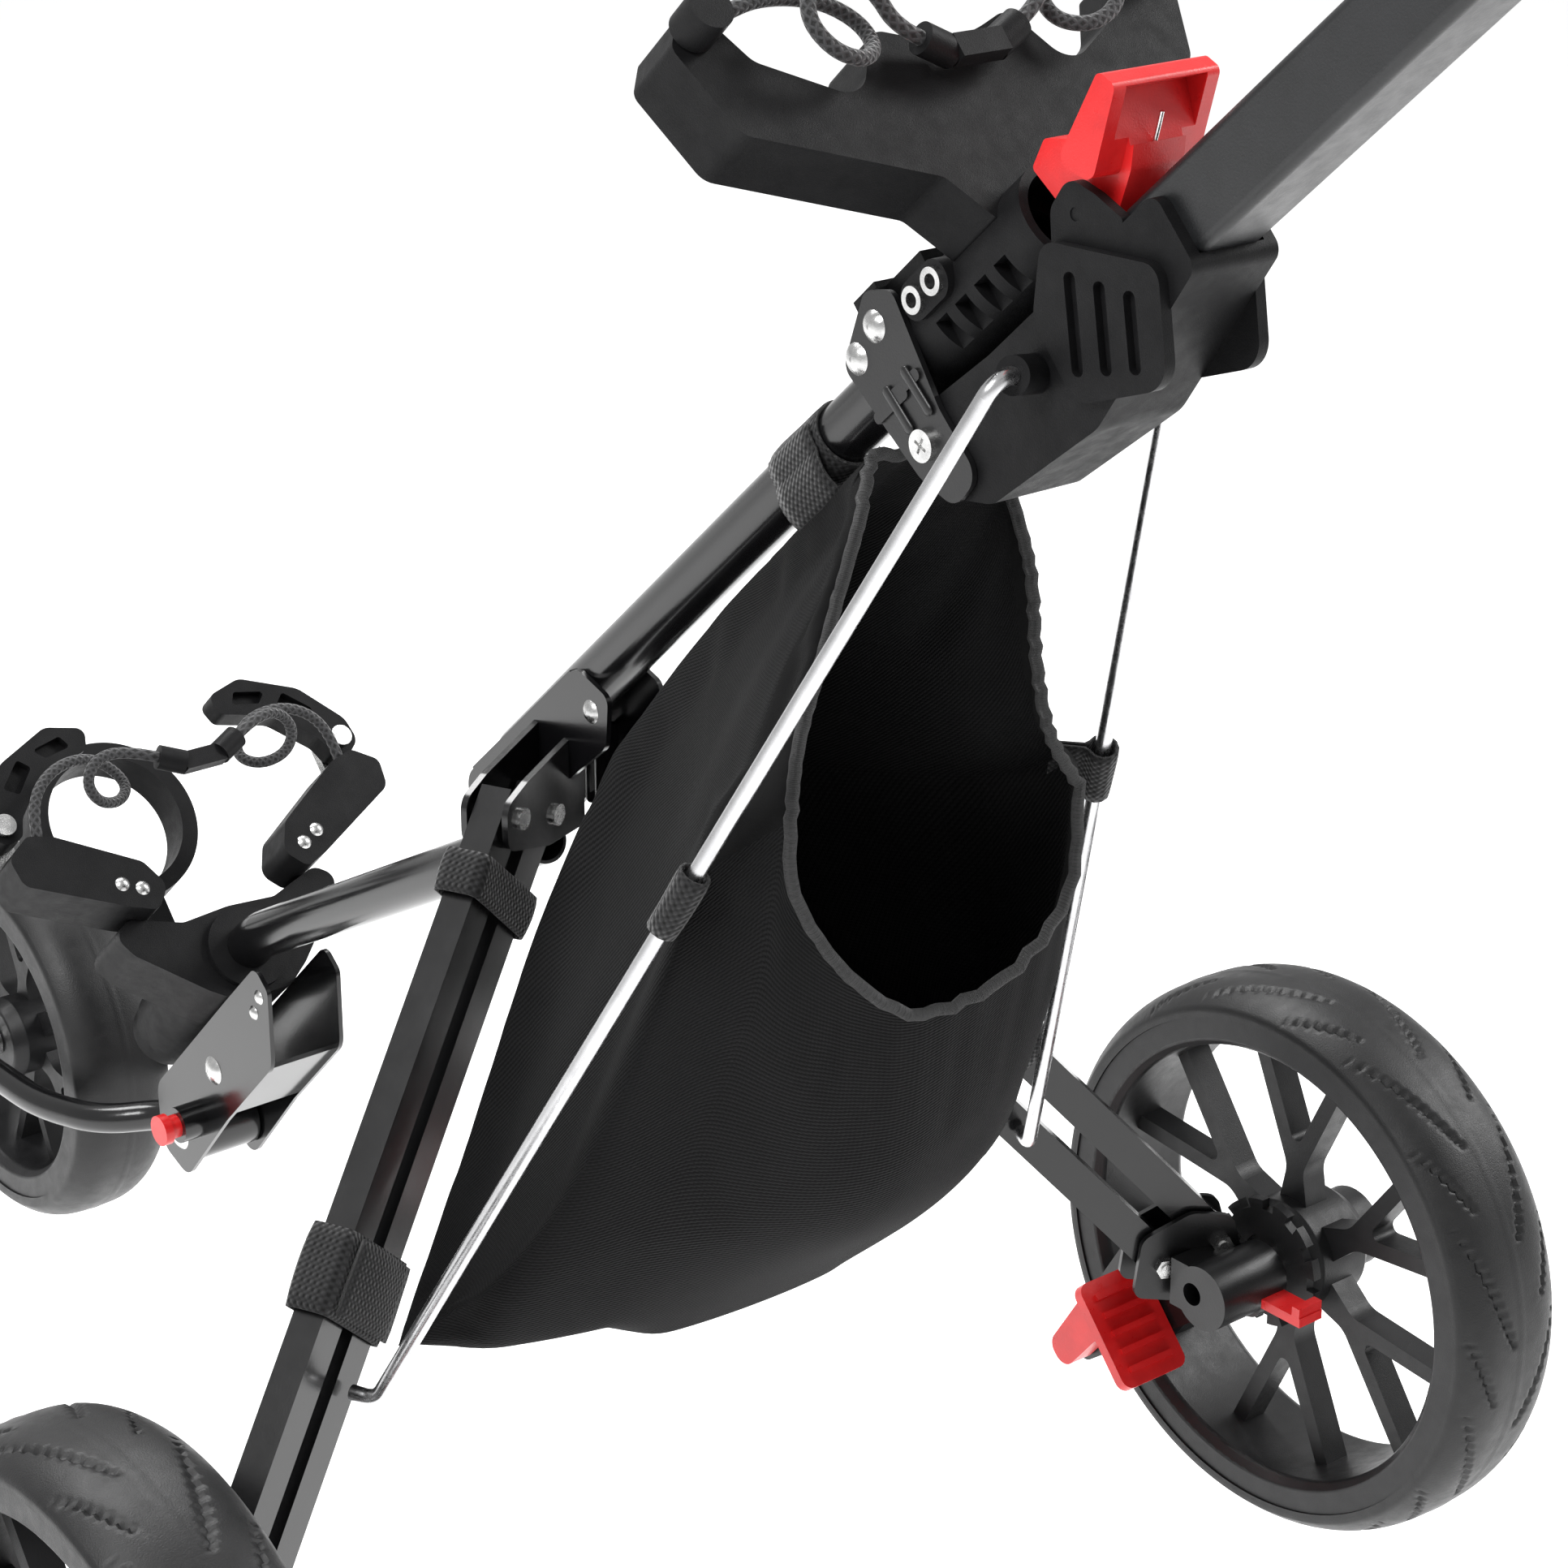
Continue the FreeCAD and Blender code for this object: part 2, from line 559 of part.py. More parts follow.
# Foot brake on the right wheel: pedal, lever, pivot bolts and the notched ring they lock.
PEDAL_UP = V(0, 0.66, 0.751)
PEDAL_FACE = V(0, -0.751, 0.66)
PEDAL_MID = at(268, 46, 106)
pedal_place = frame(PEDAL_MID, PEDAL_FACE * -1, X)
pedal_pad = plate("pedal_pad", pedal_place, [(-22, -29), (22, -29), (22, 29), (-22, 29)], "6", 6)
pedal_ribs = [block("pedal_rib_%d" % index, frame(PEDAL_MID + PEDAL_UP * offset, PEDAL_FACE, X),
                    "30", "3", "1.6") for index, offset in enumerate((-20, -10, 0, 10, 20))]
pedal_lever = side_plate("pedal_lever", 276, [(44, 104), (62, 90), (80, 112), (92, 100),
                                              (116, 62), (104, 50), (78, 82), (54, 74),
                                              (38, 96)],
                         "14", [3, 8, 8, 8, 8, 8, 12, 6, 3], [(81, 102, 3.05)])
pedal_top_clear = block("pedal_top_clear", frame(PEDAL_MID + PEDAL_FACE * 2, PEDAL_FACE, X),
                        "100", "200", "60")
node(fused("pedal_whole", pedal_pad, *pedal_ribs, cut("pedal_lever_cut", pedal_lever,
                                                      pedal_top_clear)), "brake_pedal")

# ---------------------------------------------------------------- wheels
SPOKES = 6


def tyre(name, centre, radius, width, rim):
    """A tyre with rounded shoulders, turned about X."""
    half = width / 2
    corners = [(-half, rim), (-half, radius - 9), (-half + 10, radius - 2), (0, radius),
               (half - 10, radius - 2), (half, radius - 9), (half, rim)]
    return turned(name, FreeCAD.Placement(centre, FreeCAD.Rotation()), corners,
                  [1, 4, 10, 0, 10, 4, 1])


def rim(name, centre, radius, half_width, hub_in, hub_out, hub_radius, bore, reach):
    """A moulded rim: barrel, hub and Y-shaped spokes, turned and patterned about X."""
    body = doc.addObject("PartDesign::Body", name)
    barrel = outline([V(x, y, 0) for x, y in ((-half_width, radius - 0.05),
                                              (-half_width, radius - 12),
                                              (-half_width + 5, radius - 16),
                                              (half_width - 5, radius - 16),
                                              (half_width, radius - 12),
                                              (half_width, radius - 0.05))], [0, 2, 4, 4, 2, 0])
    hub = outline([V(hub_in, bore, 0), V(hub_out, bore, 0), V(hub_out, hub_radius - 6, 0),
                   V(hub_out - 8, hub_radius, 0), V(hub_in + 8, hub_radius, 0),
                   V(hub_in, hub_radius - 4, 0)], [0, 0, 2, 2, 2, 2])
    sketch = sketch_in(body, name + "_profile", "XY_Plane", hub)
    turn = body.newObject("PartDesign::Revolution", name + "_hub")
    turn.Profile = sketch
    turn.ReferenceAxis = (sketch, ["H_Axis"])
    turn.Angle = 360
    inner, outer = hub_radius - 3, radius - 14
    fork = outer * 0.52
    spread = math.radians(15)
    tip_out = (outer * math.sin(spread + 0.036), outer * math.cos(spread + 0.036))
    tip_in = (outer * math.sin(spread - 0.036), outer * math.cos(spread - 0.036))
    half_spoke = [(reach * 0.78, inner), (reach * 0.45, fork * 0.78), tip_out, tip_in,
                  (0, fork * 0.94)]
    corners = half_spoke + [(-x, y) for x, y in half_spoke[:-1]][::-1]
    spoke = outline([V(x, y, 0) for x, y in corners], [0, 14, 0, 0, 4, 0, 0, 14, 0])
    sketch = sketch_in(body, name + "_spoke", "YZ_Plane", spoke)
    pad = body.newObject("PartDesign::Pad", name + "_spoke_pad")
    pad.Profile = sketch
    pad.Length = 15
    pad.Midplane = True
    doc.recompute()
    pattern = body.newObject("PartDesign::PolarPattern", name + "_spokes")
    pattern.Originals = [pad]
    pattern.Axis = (plane_of(body, "X_Axis"), [""])
    pattern.Angle = 360
    pattern.Occurrences = SPOKES
    body.Tip = pattern
    ring_sketch = sketch_in(body, name + "_barrel_profile", "XY_Plane", barrel)
    ring = body.newObject("PartDesign::Revolution", name + "_barrel")
    ring.Profile = ring_sketch
    ring.ReferenceAxis = (ring_sketch, ["H_Axis"])
    ring.Angle = 360
    body.Tip = ring
    body.Placement = FreeCAD.Placement(centre, FreeCAD.Rotation())
    return body


notches = []
RING_NOTCHES = 12
ring_place = frame(side_point(1, size("half_track") - 26, 0, 146), X, Y)
ring_outer = drum("brake_ring_outer", ring_place, "34", "5")
ring_inner = drum("brake_ring_inner", ring_place, "sizes.rear_axle_dia / 2 + 9", "5")
for index in range(RING_NOTCHES):
    angle = 2 * math.pi * index / RING_NOTCHES
    spot = side_point(1, size("half_track") - 27, 34 * math.cos(angle),
                      146 + 34 * math.sin(angle))
    notches.append(block("brake_notch_%d" % index, frame(spot, X, V(0, math.cos(angle),
                                                                   math.sin(angle))),
                         "10", "7", "8"))
brake_ring = cut("brake_ring", ring_outer, ring_inner, *notches)

REAR_RIM = 131
for side_name, sign in sides():
    centre = side_point(sign, size("half_track"), 0, size("rear_wheel_radius"))
    node(tyre("tyre_%s_body" % side_name, centre, size("rear_wheel_radius"),
              size("rear_tyre_width"), REAR_RIM), "rear_tyre_" + side_name)
    body = rim("rim_%s_body" % side_name, centre, REAR_RIM, 33, -22, 24, 30,
               size("rear_axle_dia") / 2 + GAP, 12)
    cap = drum("hub_cap_" + side_name, frame(centre + X * (sign * 35), X * sign, Y), "21", "3")
    cap_rim = drum("hub_cap_rim_" + side_name, frame(centre + X * (sign * 20), X * sign, Y),
                   "21", "15")
    cap_room = drum("hub_cap_room_" + side_name, frame(centre + X * (sign * 20), X * sign, Y),
                    "13", "15")
    cap_shell = cut("hub_cap_shell_" + side_name, cap_rim, cap_room)
    extras = [brake_ring] if sign > 0 else []
    node(fused("rim_whole_" + side_name, body, cap_shell, cap, *extras), "rear_rim_" + side_name)

# ---------------------------------------------------------------- front wheel and fork
FRONT = at(0, size("wheelbase"), size("front_wheel_radius"))
FRONT_RIM = 96
node(tyre("front_tyre_body", FRONT, size("front_wheel_radius"), size("front_tyre_width"),
          FRONT_RIM), "front_tyre")
node(rim("front_rim_body", FRONT, FRONT_RIM, 29, -26, 26, 24,
         size("front_axle_dia") / 2 + GAP, 10), "front_rim")

FOLD = at(0, 500, 130)
FORK_X = 49
fork_half = [FOLD + X * 6 + Y * 6, FOLD + V(9, 36, -6), FOLD + V(38, 64, -12),
             FOLD + V(FORK_X, 112, -17), FRONT + X * FORK_X]
fork_pipe = pipe(fork_half, size("fork_tube_dia"))
fork_right = free_shape("fork_right", fork_pipe)
fork_left = free_shape("fork_left", mirrored(fork_pipe))
barrel_half = 18.5
fork_barrel = drum("fork_barrel", frame(FOLD - X * barrel_half, X, Y), "17", "37")
fork_ends = [drum("fork_end_" + side_name, frame(FRONT + X * (sign * (FORK_X - 9)), X * sign, Y),
                  "13", "18") for side_name, sign in sides()]
fork_bores = [drum("fork_pin_bore", frame(FOLD - X * 40, X, Y), "4.05", "80"),
              drum("fork_axle_bore", frame(FRONT - X * 70, X, Y), "4", "140")]
node(cut("fork_cut", fused("fork_whole", fork_right, fork_left, fork_barrel, *fork_ends),
         *fork_bores), "front_fork")
front_shaft = drum("front_shaft", frame(FRONT - X * 64, X, Y), "sizes.front_axle_dia / 2", "128")
front_nuts = [drum("front_nut_" + side_name, frame(FRONT + X * (sign * 58), X * sign, Y), "7.5",
                   "6") for side_name, sign in sides()]
front_spacers = [drum("front_spacer_" + side_name, frame(FRONT + X * (sign * 27), X * sign, Y),
                      "8", "13") for side_name, sign in sides()]
node(fused("front_axle_whole", front_shaft, *front_nuts, *front_spacers), "front_axle")

# ---------------------------------------------------------------- socket and fold bracket
SOCKET_START = at(0, 452, 253.3)
socket_body = drum("socket_body", frame(SOCKET_START, DOWN_TUBE, X), "sizes.socket_dia / 2",
                   "112")
socket_room = free_shape("socket_room", pipe(arm_route, arm_dia, 60))
plug_place = frame(SOCKET_START + DOWN_TUBE * 112, DOWN_TUBE, X)
plug_disc = drum("plug_disc", plug_place, "20", "16")
plug_cone = doc.addObject("Part::Cone", "plug_cone")
bind(plug_cone, Radius1="20", Radius2="15", Height="6")
plug_cone.Placement = frame(SOCKET_START + DOWN_TUBE * 128, DOWN_TUBE, X)
node(cut("socket_cut", fused("socket_whole", socket_body, plug_disc, plug_cone), socket_room),
     "lower_socket")

FOLD_X = 20
BRACKET = [(398, 252), (410, 262), (441, 232), (522, 152), (520, 116), (494, 106), (448, 158),
           (398, 208)]
fold_parts = []
for side_name, sign in sides():
    start = FOLD_X if sign > 0 else -FOLD_X - size("plate_gauge")
    fold_parts.append(side_plate("fold_cheek_" + side_name, start, BRACKET, GAUGE,
                                 [6, 6, 12, 16, 14, 10, 16, 14], [(500, 130, 4)]))
floor_low, floor_high = at(0, 452, 161), at(0, 404, 208)
floor_run = floor_high - floor_low
fold_floor = block("fold_floor", frame(floor_low + floor_run * 0.5,
                                       floor_run.cross(X).normalize() * -1, X),
                   "2 * 22.5", "64", "2.5")
fold_parts.append(fold_floor)
socket_space = drum("socket_space", frame(SOCKET_START, DOWN_TUBE, X), "sizes.socket_dia / 2",
                    "134")
BUTTON = at(0, 478, 148)
fold_parts.append(drum("button_housing", frame(BUTTON - X * 22, X * -1, Y), "10", "14.5"))
button_bore = drum("button_bore", frame(BUTTON - X * 24, X * -1, Y), "6.55", "14")
node(cut("fold_cut", fused("fold_fused", *fold_parts), socket_space, button_bore),
     "front_fold_bracket")

pin_shank = drum("fold_pin_shank", frame(FOLD - X * 25, X, Y), "4", "50")
pin_dome = dome("fold_pin_dome", FOLD - X * 22.5, X * -1, 9, 4)
pin_dome_right = dome("fold_pin_dome_right", FOLD + X * 22.5, X, 9, 4)
node(fused("fold_pin_whole", pin_shank, pin_dome, pin_dome_right), "front_fold_pin")
fold_screws = [dome("fold_screw_%s_%d" % (side_name, index),
                    at(sign * (FOLD_X + size("plate_gauge")), y, z), X * sign, radius, rise)
               for side_name, sign in sides()
               for index, (y, z, radius, rise) in enumerate(((407, 246, 4, 2), (413, 235, 4, 2),
                                                             (459, 184, 8, 3.5)))]

button_stem = drum("button_stem", frame(BUTTON - X * 30.5, X * -1, Y), "6.5", "12")
button_cap = drum("button_cap", frame(BUTTON - X * 42.5, X * -1, Y), "8.5", "5")
node(fused("button_whole", button_stem, button_cap), "fold_button")

# ---------------------------------------------------------------- handle
HOUSING = [(-104, 658), (-106, 676), (-146, 707), (-186, 743), (-229, 783), (-251, 760),
           (-205, 692), (-150, 650), (-118, 646)]
EAR = [(-177, 757), (-174, 727), (-198, 700), (-244, 716), (-237, 759)]
LATCH_PIVOT = (-190, 768)
LATCH_LUG = [(-180, 738), (-177, 768), (-186, 781), (-200, 777), (-216, 770)]
HANDLE_OFF = -37
HANDLE_START = -60
HOOK = (46, -178, 710)
ROD_AXIS = V(-0.9538, 0.2454, -0.1733)
parts = [side_plate("housing_body", -21.5, HOUSING, "43", [6, 8, 12, 4, 6, 6, 20, 14, 10],
                    [(-115, 666, 3.05)])]
for side_name, sign in sides():
    ear_start = 21 if sign > 0 else -26
    ear = side_plate("ear_" + side_name, ear_start, EAR, "5", [8, 12, 10, 12, 8])
    ear_slots = []
    for index in range(3):
        spot = at(sign * 22.5, -195.5 - 15 * index, 729.5 + 1.5 * index)
        place = frame(spot, X * sign, V(0, 0.17, 0.985))
        reach = 19 - 2 * index
        ear_slots.append(plate("ear_slot_%s_%d" % (side_name, index), place,
                               [(-reach, -3), (reach, -3), (reach, 3), (-reach, 3)], "4", 2.8))
    parts.append(cut("ear_cut_" + side_name, ear, *ear_slots))
    lug_start = 16.8 if sign > 0 else -21.5
    parts.append(side_plate("latch_lug_" + side_name, lug_start, LATCH_LUG, "4.7",
                            [2, 8, 8, 8, 2], [LATCH_PIVOT + (2.5,)]))
    axis = V(ROD_AXIS.x * sign, ROD_AXIS.y, ROD_AXIS.z)
    hook = side_point(sign, *HOOK)
    parts.append(drum("rod_boss_" + side_name, frame(hook + axis * 10, axis, Y), "7.5", "17"))
tube_room = block("tube_room", frame(along_tube(HANDLE_START, HANDLE_OFF), DOWN_TUBE * -1, X),
                  "sizes.handle_square", "sizes.handle_square", "60")
latch_room = block("latch_room", frame(at(0, -193, 757), V(0, -0.3, 1), X), "33.6", "36", "40")
rod_bores = [drum("rod_bore_" + side_name, frame(
    side_point(sign, *HOOK), V(ROD_AXIS.x * sign, ROD_AXIS.y, ROD_AXIS.z), Y),
    "sizes.rod_dia / 2 + sizes.running_gap", "22.5") for side_name, sign in sides()]
housing = cut("housing_cut", fused("housing_fused", *parts), tube_room, latch_room, *rod_bores)
latch_pin = drum("latch_pin", frame(at(-21, *LATCH_PIVOT), X, Y), "2.5", "42")
node(fused("housing_whole", housing, latch_pin), "handle_housing")

handle_outer = block("handle_outer", frame(along_tube(HANDLE_START, HANDLE_OFF),
                                           DOWN_TUBE * -1, X),
                     "sizes.handle_square", "sizes.handle_square", "sizes.handle_length")
handle_edges = doc.addObject("Part::Fillet", "handle_rounded")
handle_edges.Base = handle_outer
doc.recompute()
along_edges = [index + 1 for index, edge in enumerate(handle_outer.Shape.Edges)
               if abs(edge.Length - size("handle_length")) < 0.01]
handle_edges.Edges = [(index, 4.0, 4.0) for index in along_edges]
handle_inner = block("handle_inner", frame(along_tube(HANDLE_START, HANDLE_OFF),
                                           DOWN_TUBE * -1, X),
                     "sizes.handle_square - 4", "sizes.handle_square - 4",
                     "sizes.handle_length")
node(cut("handle_cut", handle_edges, handle_inner), "handle_tube")

HANDLE_END = HANDLE_START - size("handle_length")
GRIP_AT = along_tube(HANDLE_END - 31, HANDLE_OFF)
neck_block = block("neck_block", frame(along_tube(HANDLE_END, HANDLE_OFF), DOWN_TUBE * -1, X),
                   "sizes.handle_square + 6", "sizes.handle_square + 6", "12")
neck_stem = drum("neck_stem", frame(along_tube(HANDLE_END - 12, HANDLE_OFF), DOWN_TUBE * -1, X),
                 "14", "12")
neck_ring = drum("neck_ring", frame(GRIP_AT - X * 16, X, Y), "19", "32")
bar_outer = drum("grip_bar_outer", frame(GRIP_AT - X * 112, X, Y), "11", "224")
node(fused("neck_fused", neck_block, neck_stem, neck_ring, bar_outer), "handle_neck")
foam = []
for side_name, sign in sides():
    sleeve = drum("foam_" + side_name, frame(GRIP_AT + X * (sign * 16), X * sign, Y),
                  "sizes.grip_dia / 2", "96")
    core = drum("foam_core_" + side_name, frame(GRIP_AT + X * (sign * 16), X * sign, Y), "11",
                "96")
    foam.append(cut("foam_cut_" + side_name, sleeve, core))
node(group("foam_group", *foam), "grip_foam")

# Red latch: a hooked lever with a broad thumb paddle, and the wire spring behind it.
LATCH_SIDE = [(-158, 778), (-164, 790), (-184, 793), (-204, 820), (-212, 816), (-209, 786),
              (-202, 766), (-190, 759), (-178, 764)]
latch_hook = side_plate("latch_hook", -13, LATCH_SIDE, "26", [2, 3, 6, 3, 3, 10, 6, 6, 6],
                        [LATCH_PIVOT + (2.55,)])
PADDLE = [(-184, 786), (-204, 822), (-213, 818), (-203, 782)]
latch_paddle = side_plate("latch_paddle", -26, PADDLE, "52", [5, 3, 3, 5])
pocket_place = frame(at(0, -205, 804), V(0, -0.87, 0.3), X)
latch_pocket = block("latch_pocket", pocket_place, "40", "20", "12")
latch_ribs = [block("latch_rib_%d" % index, frame(at(x, -199.5, 801), V(0, -0.87, 0.3), X), "2",
                    "20", "6") for index, x in enumerate((-10, 0, 10))]
latch_body = cut("latch_hollow", fused("latch_solid", latch_hook, latch_paddle), latch_pocket)
node(fused("latch_whole", latch_body, *latch_ribs), "latch_lever")

# ---------------------------------------------------------------- bright rods
ROD_FOOT_OFF = 24
ROD_FOOT_REACH = 11.5
rod_dia = size("rod_dia")
for side_name, sign in sides():
    axis = V(ROD_AXIS.x * sign, ROD_AXIS.y, ROD_AXIS.z)
    hook = side_point(sign, *HOOK)
    rear = V(sign * LEG_OUT.x, LEG_OUT.y, 0).cross(Z)
    if rear.y > 0:
        rear = rear * -1
    foot = side_point(sign, *ROD_FOOT)
    route = [hook + axis * 22, hook, foot + rear * ROD_FOOT_OFF, foot + rear * ROD_FOOT_REACH]
    node(free_shape("rod_shape_" + side_name, pipe(route, rod_dia, 9)), "support_rod_" + side_name)

# ---------------------------------------------------------------- lower bag bracket
def bracket_frame(down):
    """Profile frame square to the socket: x across, y off the tube."""
    return frame(SOCKET_START + DOWN_TUBE * down, DOWN_TUBE * -1, X)


BRACKET_DOWN = 22
saddle_half = [(16, -26), (30, -16), (62, 14), (68, 26), (58, 34), (28, 24), (0, 26)]
saddle_corners = saddle_half + [(-x, y) for x, y in saddle_half[:-1]][::-1]
saddle_radii = [10, 12, 10, 7, 8, 8, 40, 8, 8, 7, 10, 12, 10]
saddle_body = plate("saddle_body", bracket_frame(BRACKET_DOWN + 22), saddle_corners, "40",
                    saddle_radii)
saddle_room = drum("saddle_room", frame(SOCKET_START - DOWN_TUBE * 40, DOWN_TUBE, X),
                   "sizes.socket_dia / 2", "200")
ARM = [(36, 42), (46, 30), (60, 35.5), (112, 62), (114, 78), (100, 88), (86, 84), (44, 58)]
ARM_RADII = [8, 6, 6, 8, 6, 6, 8, 9]
arm_space = plate("saddle_arm_space", bracket_frame(BRACKET_DOWN + 30), [
    (-120, 34.2), (120, 34.2), (120, 90), (-120, 90)], "60", 0)
node(cut("saddle_cut", saddle_body, saddle_room, arm_space), "lower_saddle")
for side_name, sign in sides():
    corners = [(sign * x, y) for x, y in ARM]
    arm_body = plate("arm_body_" + side_name, bracket_frame(BRACKET_DOWN), corners, "sizes.bracket_depth",
                     ARM_RADII)
    node(arm_body, "bracket_arm_" + side_name)

arm_bits = []
for side_name, sign in sides():
    for index, (x, off) in enumerate(((50, 44), (60, 49))):
        spot = SOCKET_START + DOWN_TUBE * (BRACKET_DOWN - size("bracket_depth")) \
            + X * (sign * x) + OFF_TUBE * off
        arm_bits.append(dome("arm_rivet_%s_%d" % (side_name, index), spot, DOWN_TUBE * -1, 4, 2))
node(group("frame_rivets_group", *eyelets, *plate_rivets, *knee_rivets, *fold_screws, *arm_bits),
     "frame_rivets")

# Cord hooks at the arm tips: a slotted fin and a smooth paddle on one screw.
HOOK_PIVOT = (104, 100)
FIN = [(114, 96), (112, 110), (92, 134), (60, 148), (38, 142), (42, 130), (72, 122), (92, 102),
       (96, 92), (106, 89.5)]
for side_name, sign in sides():
    corners = [(sign * x, y) for x, y in FIN]
    body = plate("fin_body_" + side_name, bracket_frame(BRACKET_DOWN - 8), corners, "14",
                 [8, 12, 14, 10, 5, 5, 12, 12, 4, 5], [(sign * HOOK_PIVOT[0], HOOK_PIVOT[1], 2.55)])
    slots = [plate("fin_slot_%s_%d" % (side_name, index), bracket_frame(BRACKET_DOWN - 17),
                   [(sign * x, y) for x, y in spots], "8", 1.8)
             for index, spots in enumerate((((50, 134), (66, 131), (72, 137), (54, 141)),
                                            ((76, 128), (88, 115), (96, 120), (82, 134))))]
    node(cut("fin_cut_" + side_name, body, *slots), "cord_hook_" + side_name)
hook_screws = []
for side_name, sign in sides():
    start = SOCKET_START + DOWN_TUBE * (BRACKET_DOWN - 4) + X * (sign * HOOK_PIVOT[0]) \
        + OFF_TUBE * HOOK_PIVOT[1]
    shank = drum("hook_shank_" + side_name, frame(start, DOWN_TUBE * -1, X), "2.5", "19")
    head = drum("hook_head_" + side_name, frame(start - DOWN_TUBE * 18.5, DOWN_TUBE * -1, X),
                "6", "3")
    ear = plate("hook_ear_" + side_name, bracket_frame(BRACKET_DOWN - 1),
                [(sign * x, y) for x, y in ((96, 80), (112, 80), (112, 106), (96, 106))], "6", 4)
    hook_screws.append(fused("hook_screw_" + side_name, shank, head, ear))
node(group("hook_screws_group", *hook_screws), "hook_screws")

# Ring at the foot of the bracket, which the bag's base stands in.
RING_OFF = 113
RING_DOWN = 96
ring_at = SOCKET_START + DOWN_TUBE * (RING_DOWN - 13) + OFF_TUBE * RING_OFF
ring_solid = drum("ring_solid", frame(ring_at, DOWN_TUBE, X), "sizes.ring_radius",
                  "sizes.ring_width")
ring_hollow = drum("ring_hollow", frame(ring_at - DOWN_TUBE * 2, DOWN_TUBE, X),
                   "sizes.ring_radius - 9", "sizes.ring_width + 4")
ring_stem = block("ring_stem", frame(SOCKET_START + DOWN_TUBE * RING_DOWN, OFF_TUBE, X),
                  "24", "12", "70")
stem_room = drum("stem_room", frame(SOCKET_START - DOWN_TUBE * 2, DOWN_TUBE, X),
                 "sizes.socket_dia / 2", "114")
node(cut("ring_cut", fused("ring_fused", ring_solid, ring_stem), ring_hollow, stem_room),
     "bag_rest_ring")

# ---------------------------------------------------------------- elastic cords and their clips
# Each cord runs from an arm tip in slack loops to a clip at the middle. Points are across the
# cart, off the tube and down the tube.
UPPER_CORD = [(104.5, 103, -14), (94, 106, -15), (82, 107, -15), (68, 106, -14), (54, 102, -13),
              (44, 92, -13), (45, 80, -15), (57, 74, -19), (71, 79, -22), (77, 92, -24),
              (70, 105, -27), (55, 107, -29), (43, 97, -26), (35, 86, -19), (24, 81, -16.5)]
LOWER_CORD = [(93, 85.5, -8), (92, 98, -12), (84, 112, -16), (68, 120, -18), (50, 120, -15),
              (38, 112, -11), (34, 100, -11), (44, 92, -14), (58, 93, -20), (64, 103, -27),
              (56, 113, -33), (40, 112, -36), (24, 104, -36)]


def cord_points(route, base, sign):
    """A cord's route in the model's frame."""
    return [base + DOWN_TUBE * down + OFF_TUBE * off + X * (sign * across)
            for across, off, down in route]


cord_dia = size("bungee_dia")
CORDS = (("upper", UPPER_CORD, TUBE_TOP), ("lower", LOWER_CORD, SOCKET_START))
clips = []
for place_name, route, base in CORDS:
    for side_name, sign in sides():
        points = cord_points(route, base, sign)
        cord = pipe(points, cord_dia)
        runs = route_wire(points)
        print("%s cord %s: length %.1f, smallest bend %.1f" % (place_name, side_name, runs.Length,
              min(edge.Curve.Radius for edge in runs.Edges if hasattr(edge.Curve, "Radius"))))
        node(free_shape("cord_%s_%s" % (place_name, side_name), cord),
             "%s_bungee_%s" % (place_name, side_name))
        end, before = points[-1], points[-2]
        along = (end - before).normalize()
        clip_barrel = drum("clip_barrel_%s_%s" % (place_name, side_name),
                           frame(end, along, OFF_TUBE), "6.5", "15")
        clips.append(clip_barrel)
    middle = (points[-1] + cord_points(route, base, -sign)[-1]) * 0.5
    clips.append(block("clip_link_" + place_name, frame(middle - OFF_TUBE * 12, OFF_TUBE, X),
                       "24", "8", "10"))
node(fused("clips_upper", *clips[:3]), "upper_cord_clip")
node(fused("clips_lower", *clips[3:]), "lower_cord_clip")

# ---------------------------------------------------------------- storage pouch and its straps
POUCH_TOP, POUCH_KNEE = (13, -66, 640), (14, 110, 462)
POUCH_CORNER, POUCH_RIM = (176, 47, 255), (102, -72, 494)
POUCH_SILL, POUCH_HEM = (0, -96, 412), (0, 12, 240)


def pouch_point(spot, sign):
    return side_point(sign, *spot)


def closed_solid(faces):
    """A solid from flat triangles given by their corners."""
    shell = Part.Shell([Part.Face(Part.makePolygon(list(face) + [face[0]])) for face in faces])
    solid = Part.Solid(shell)
    if solid.Volume < 0:
        solid.reverse()
    return solid


top_l, top_r = (pouch_point(POUCH_TOP, sign) for sign in (-1, 1))
knee_l, knee_r = (pouch_point(POUCH_KNEE, sign) for sign in (-1, 1))
low_l, low_r = (pouch_point(POUCH_CORNER, sign) for sign in (-1, 1))
rim_l, rim_r = (pouch_point(POUCH_RIM, sign) for sign in (-1, 1))
sill, hem = at(*POUCH_SILL), at(*POUCH_HEM)
pouch_faces = [
    (top_l, knee_l, top_r), (top_r, knee_l, knee_r),
    (top_l, low_l, knee_l), (top_l, rim_l, low_l),
    (top_r, knee_r, low_r), (top_r, low_r, rim_r),
    (knee_l, low_l, hem), (knee_l, hem, knee_r), (knee_r, hem, low_r),
    (rim_l, sill, low_l), (sill, hem, low_l), (rim_r, low_r, sill), (sill, low_r, hem),
    (top_l, top_r, rim_l), (top_r, rim_r, rim_l), (rim_l, rim_r, sill),
]
pouch_outer = closed_solid(pouch_faces)
WALL_SHARE = 0.965
mouth = (rim_l + rim_r) * 0.5 + V(0, -25, 15)
pouch_inner = pouch_outer.copy()
pouch_inner.translate(mouth * -1)
pouch_inner.scale(WALL_SHARE)
pouch_inner.translate(mouth)
node(free_shape("pouch_shape", pouch_outer.cut(pouch_inner)), "storage_pouch")

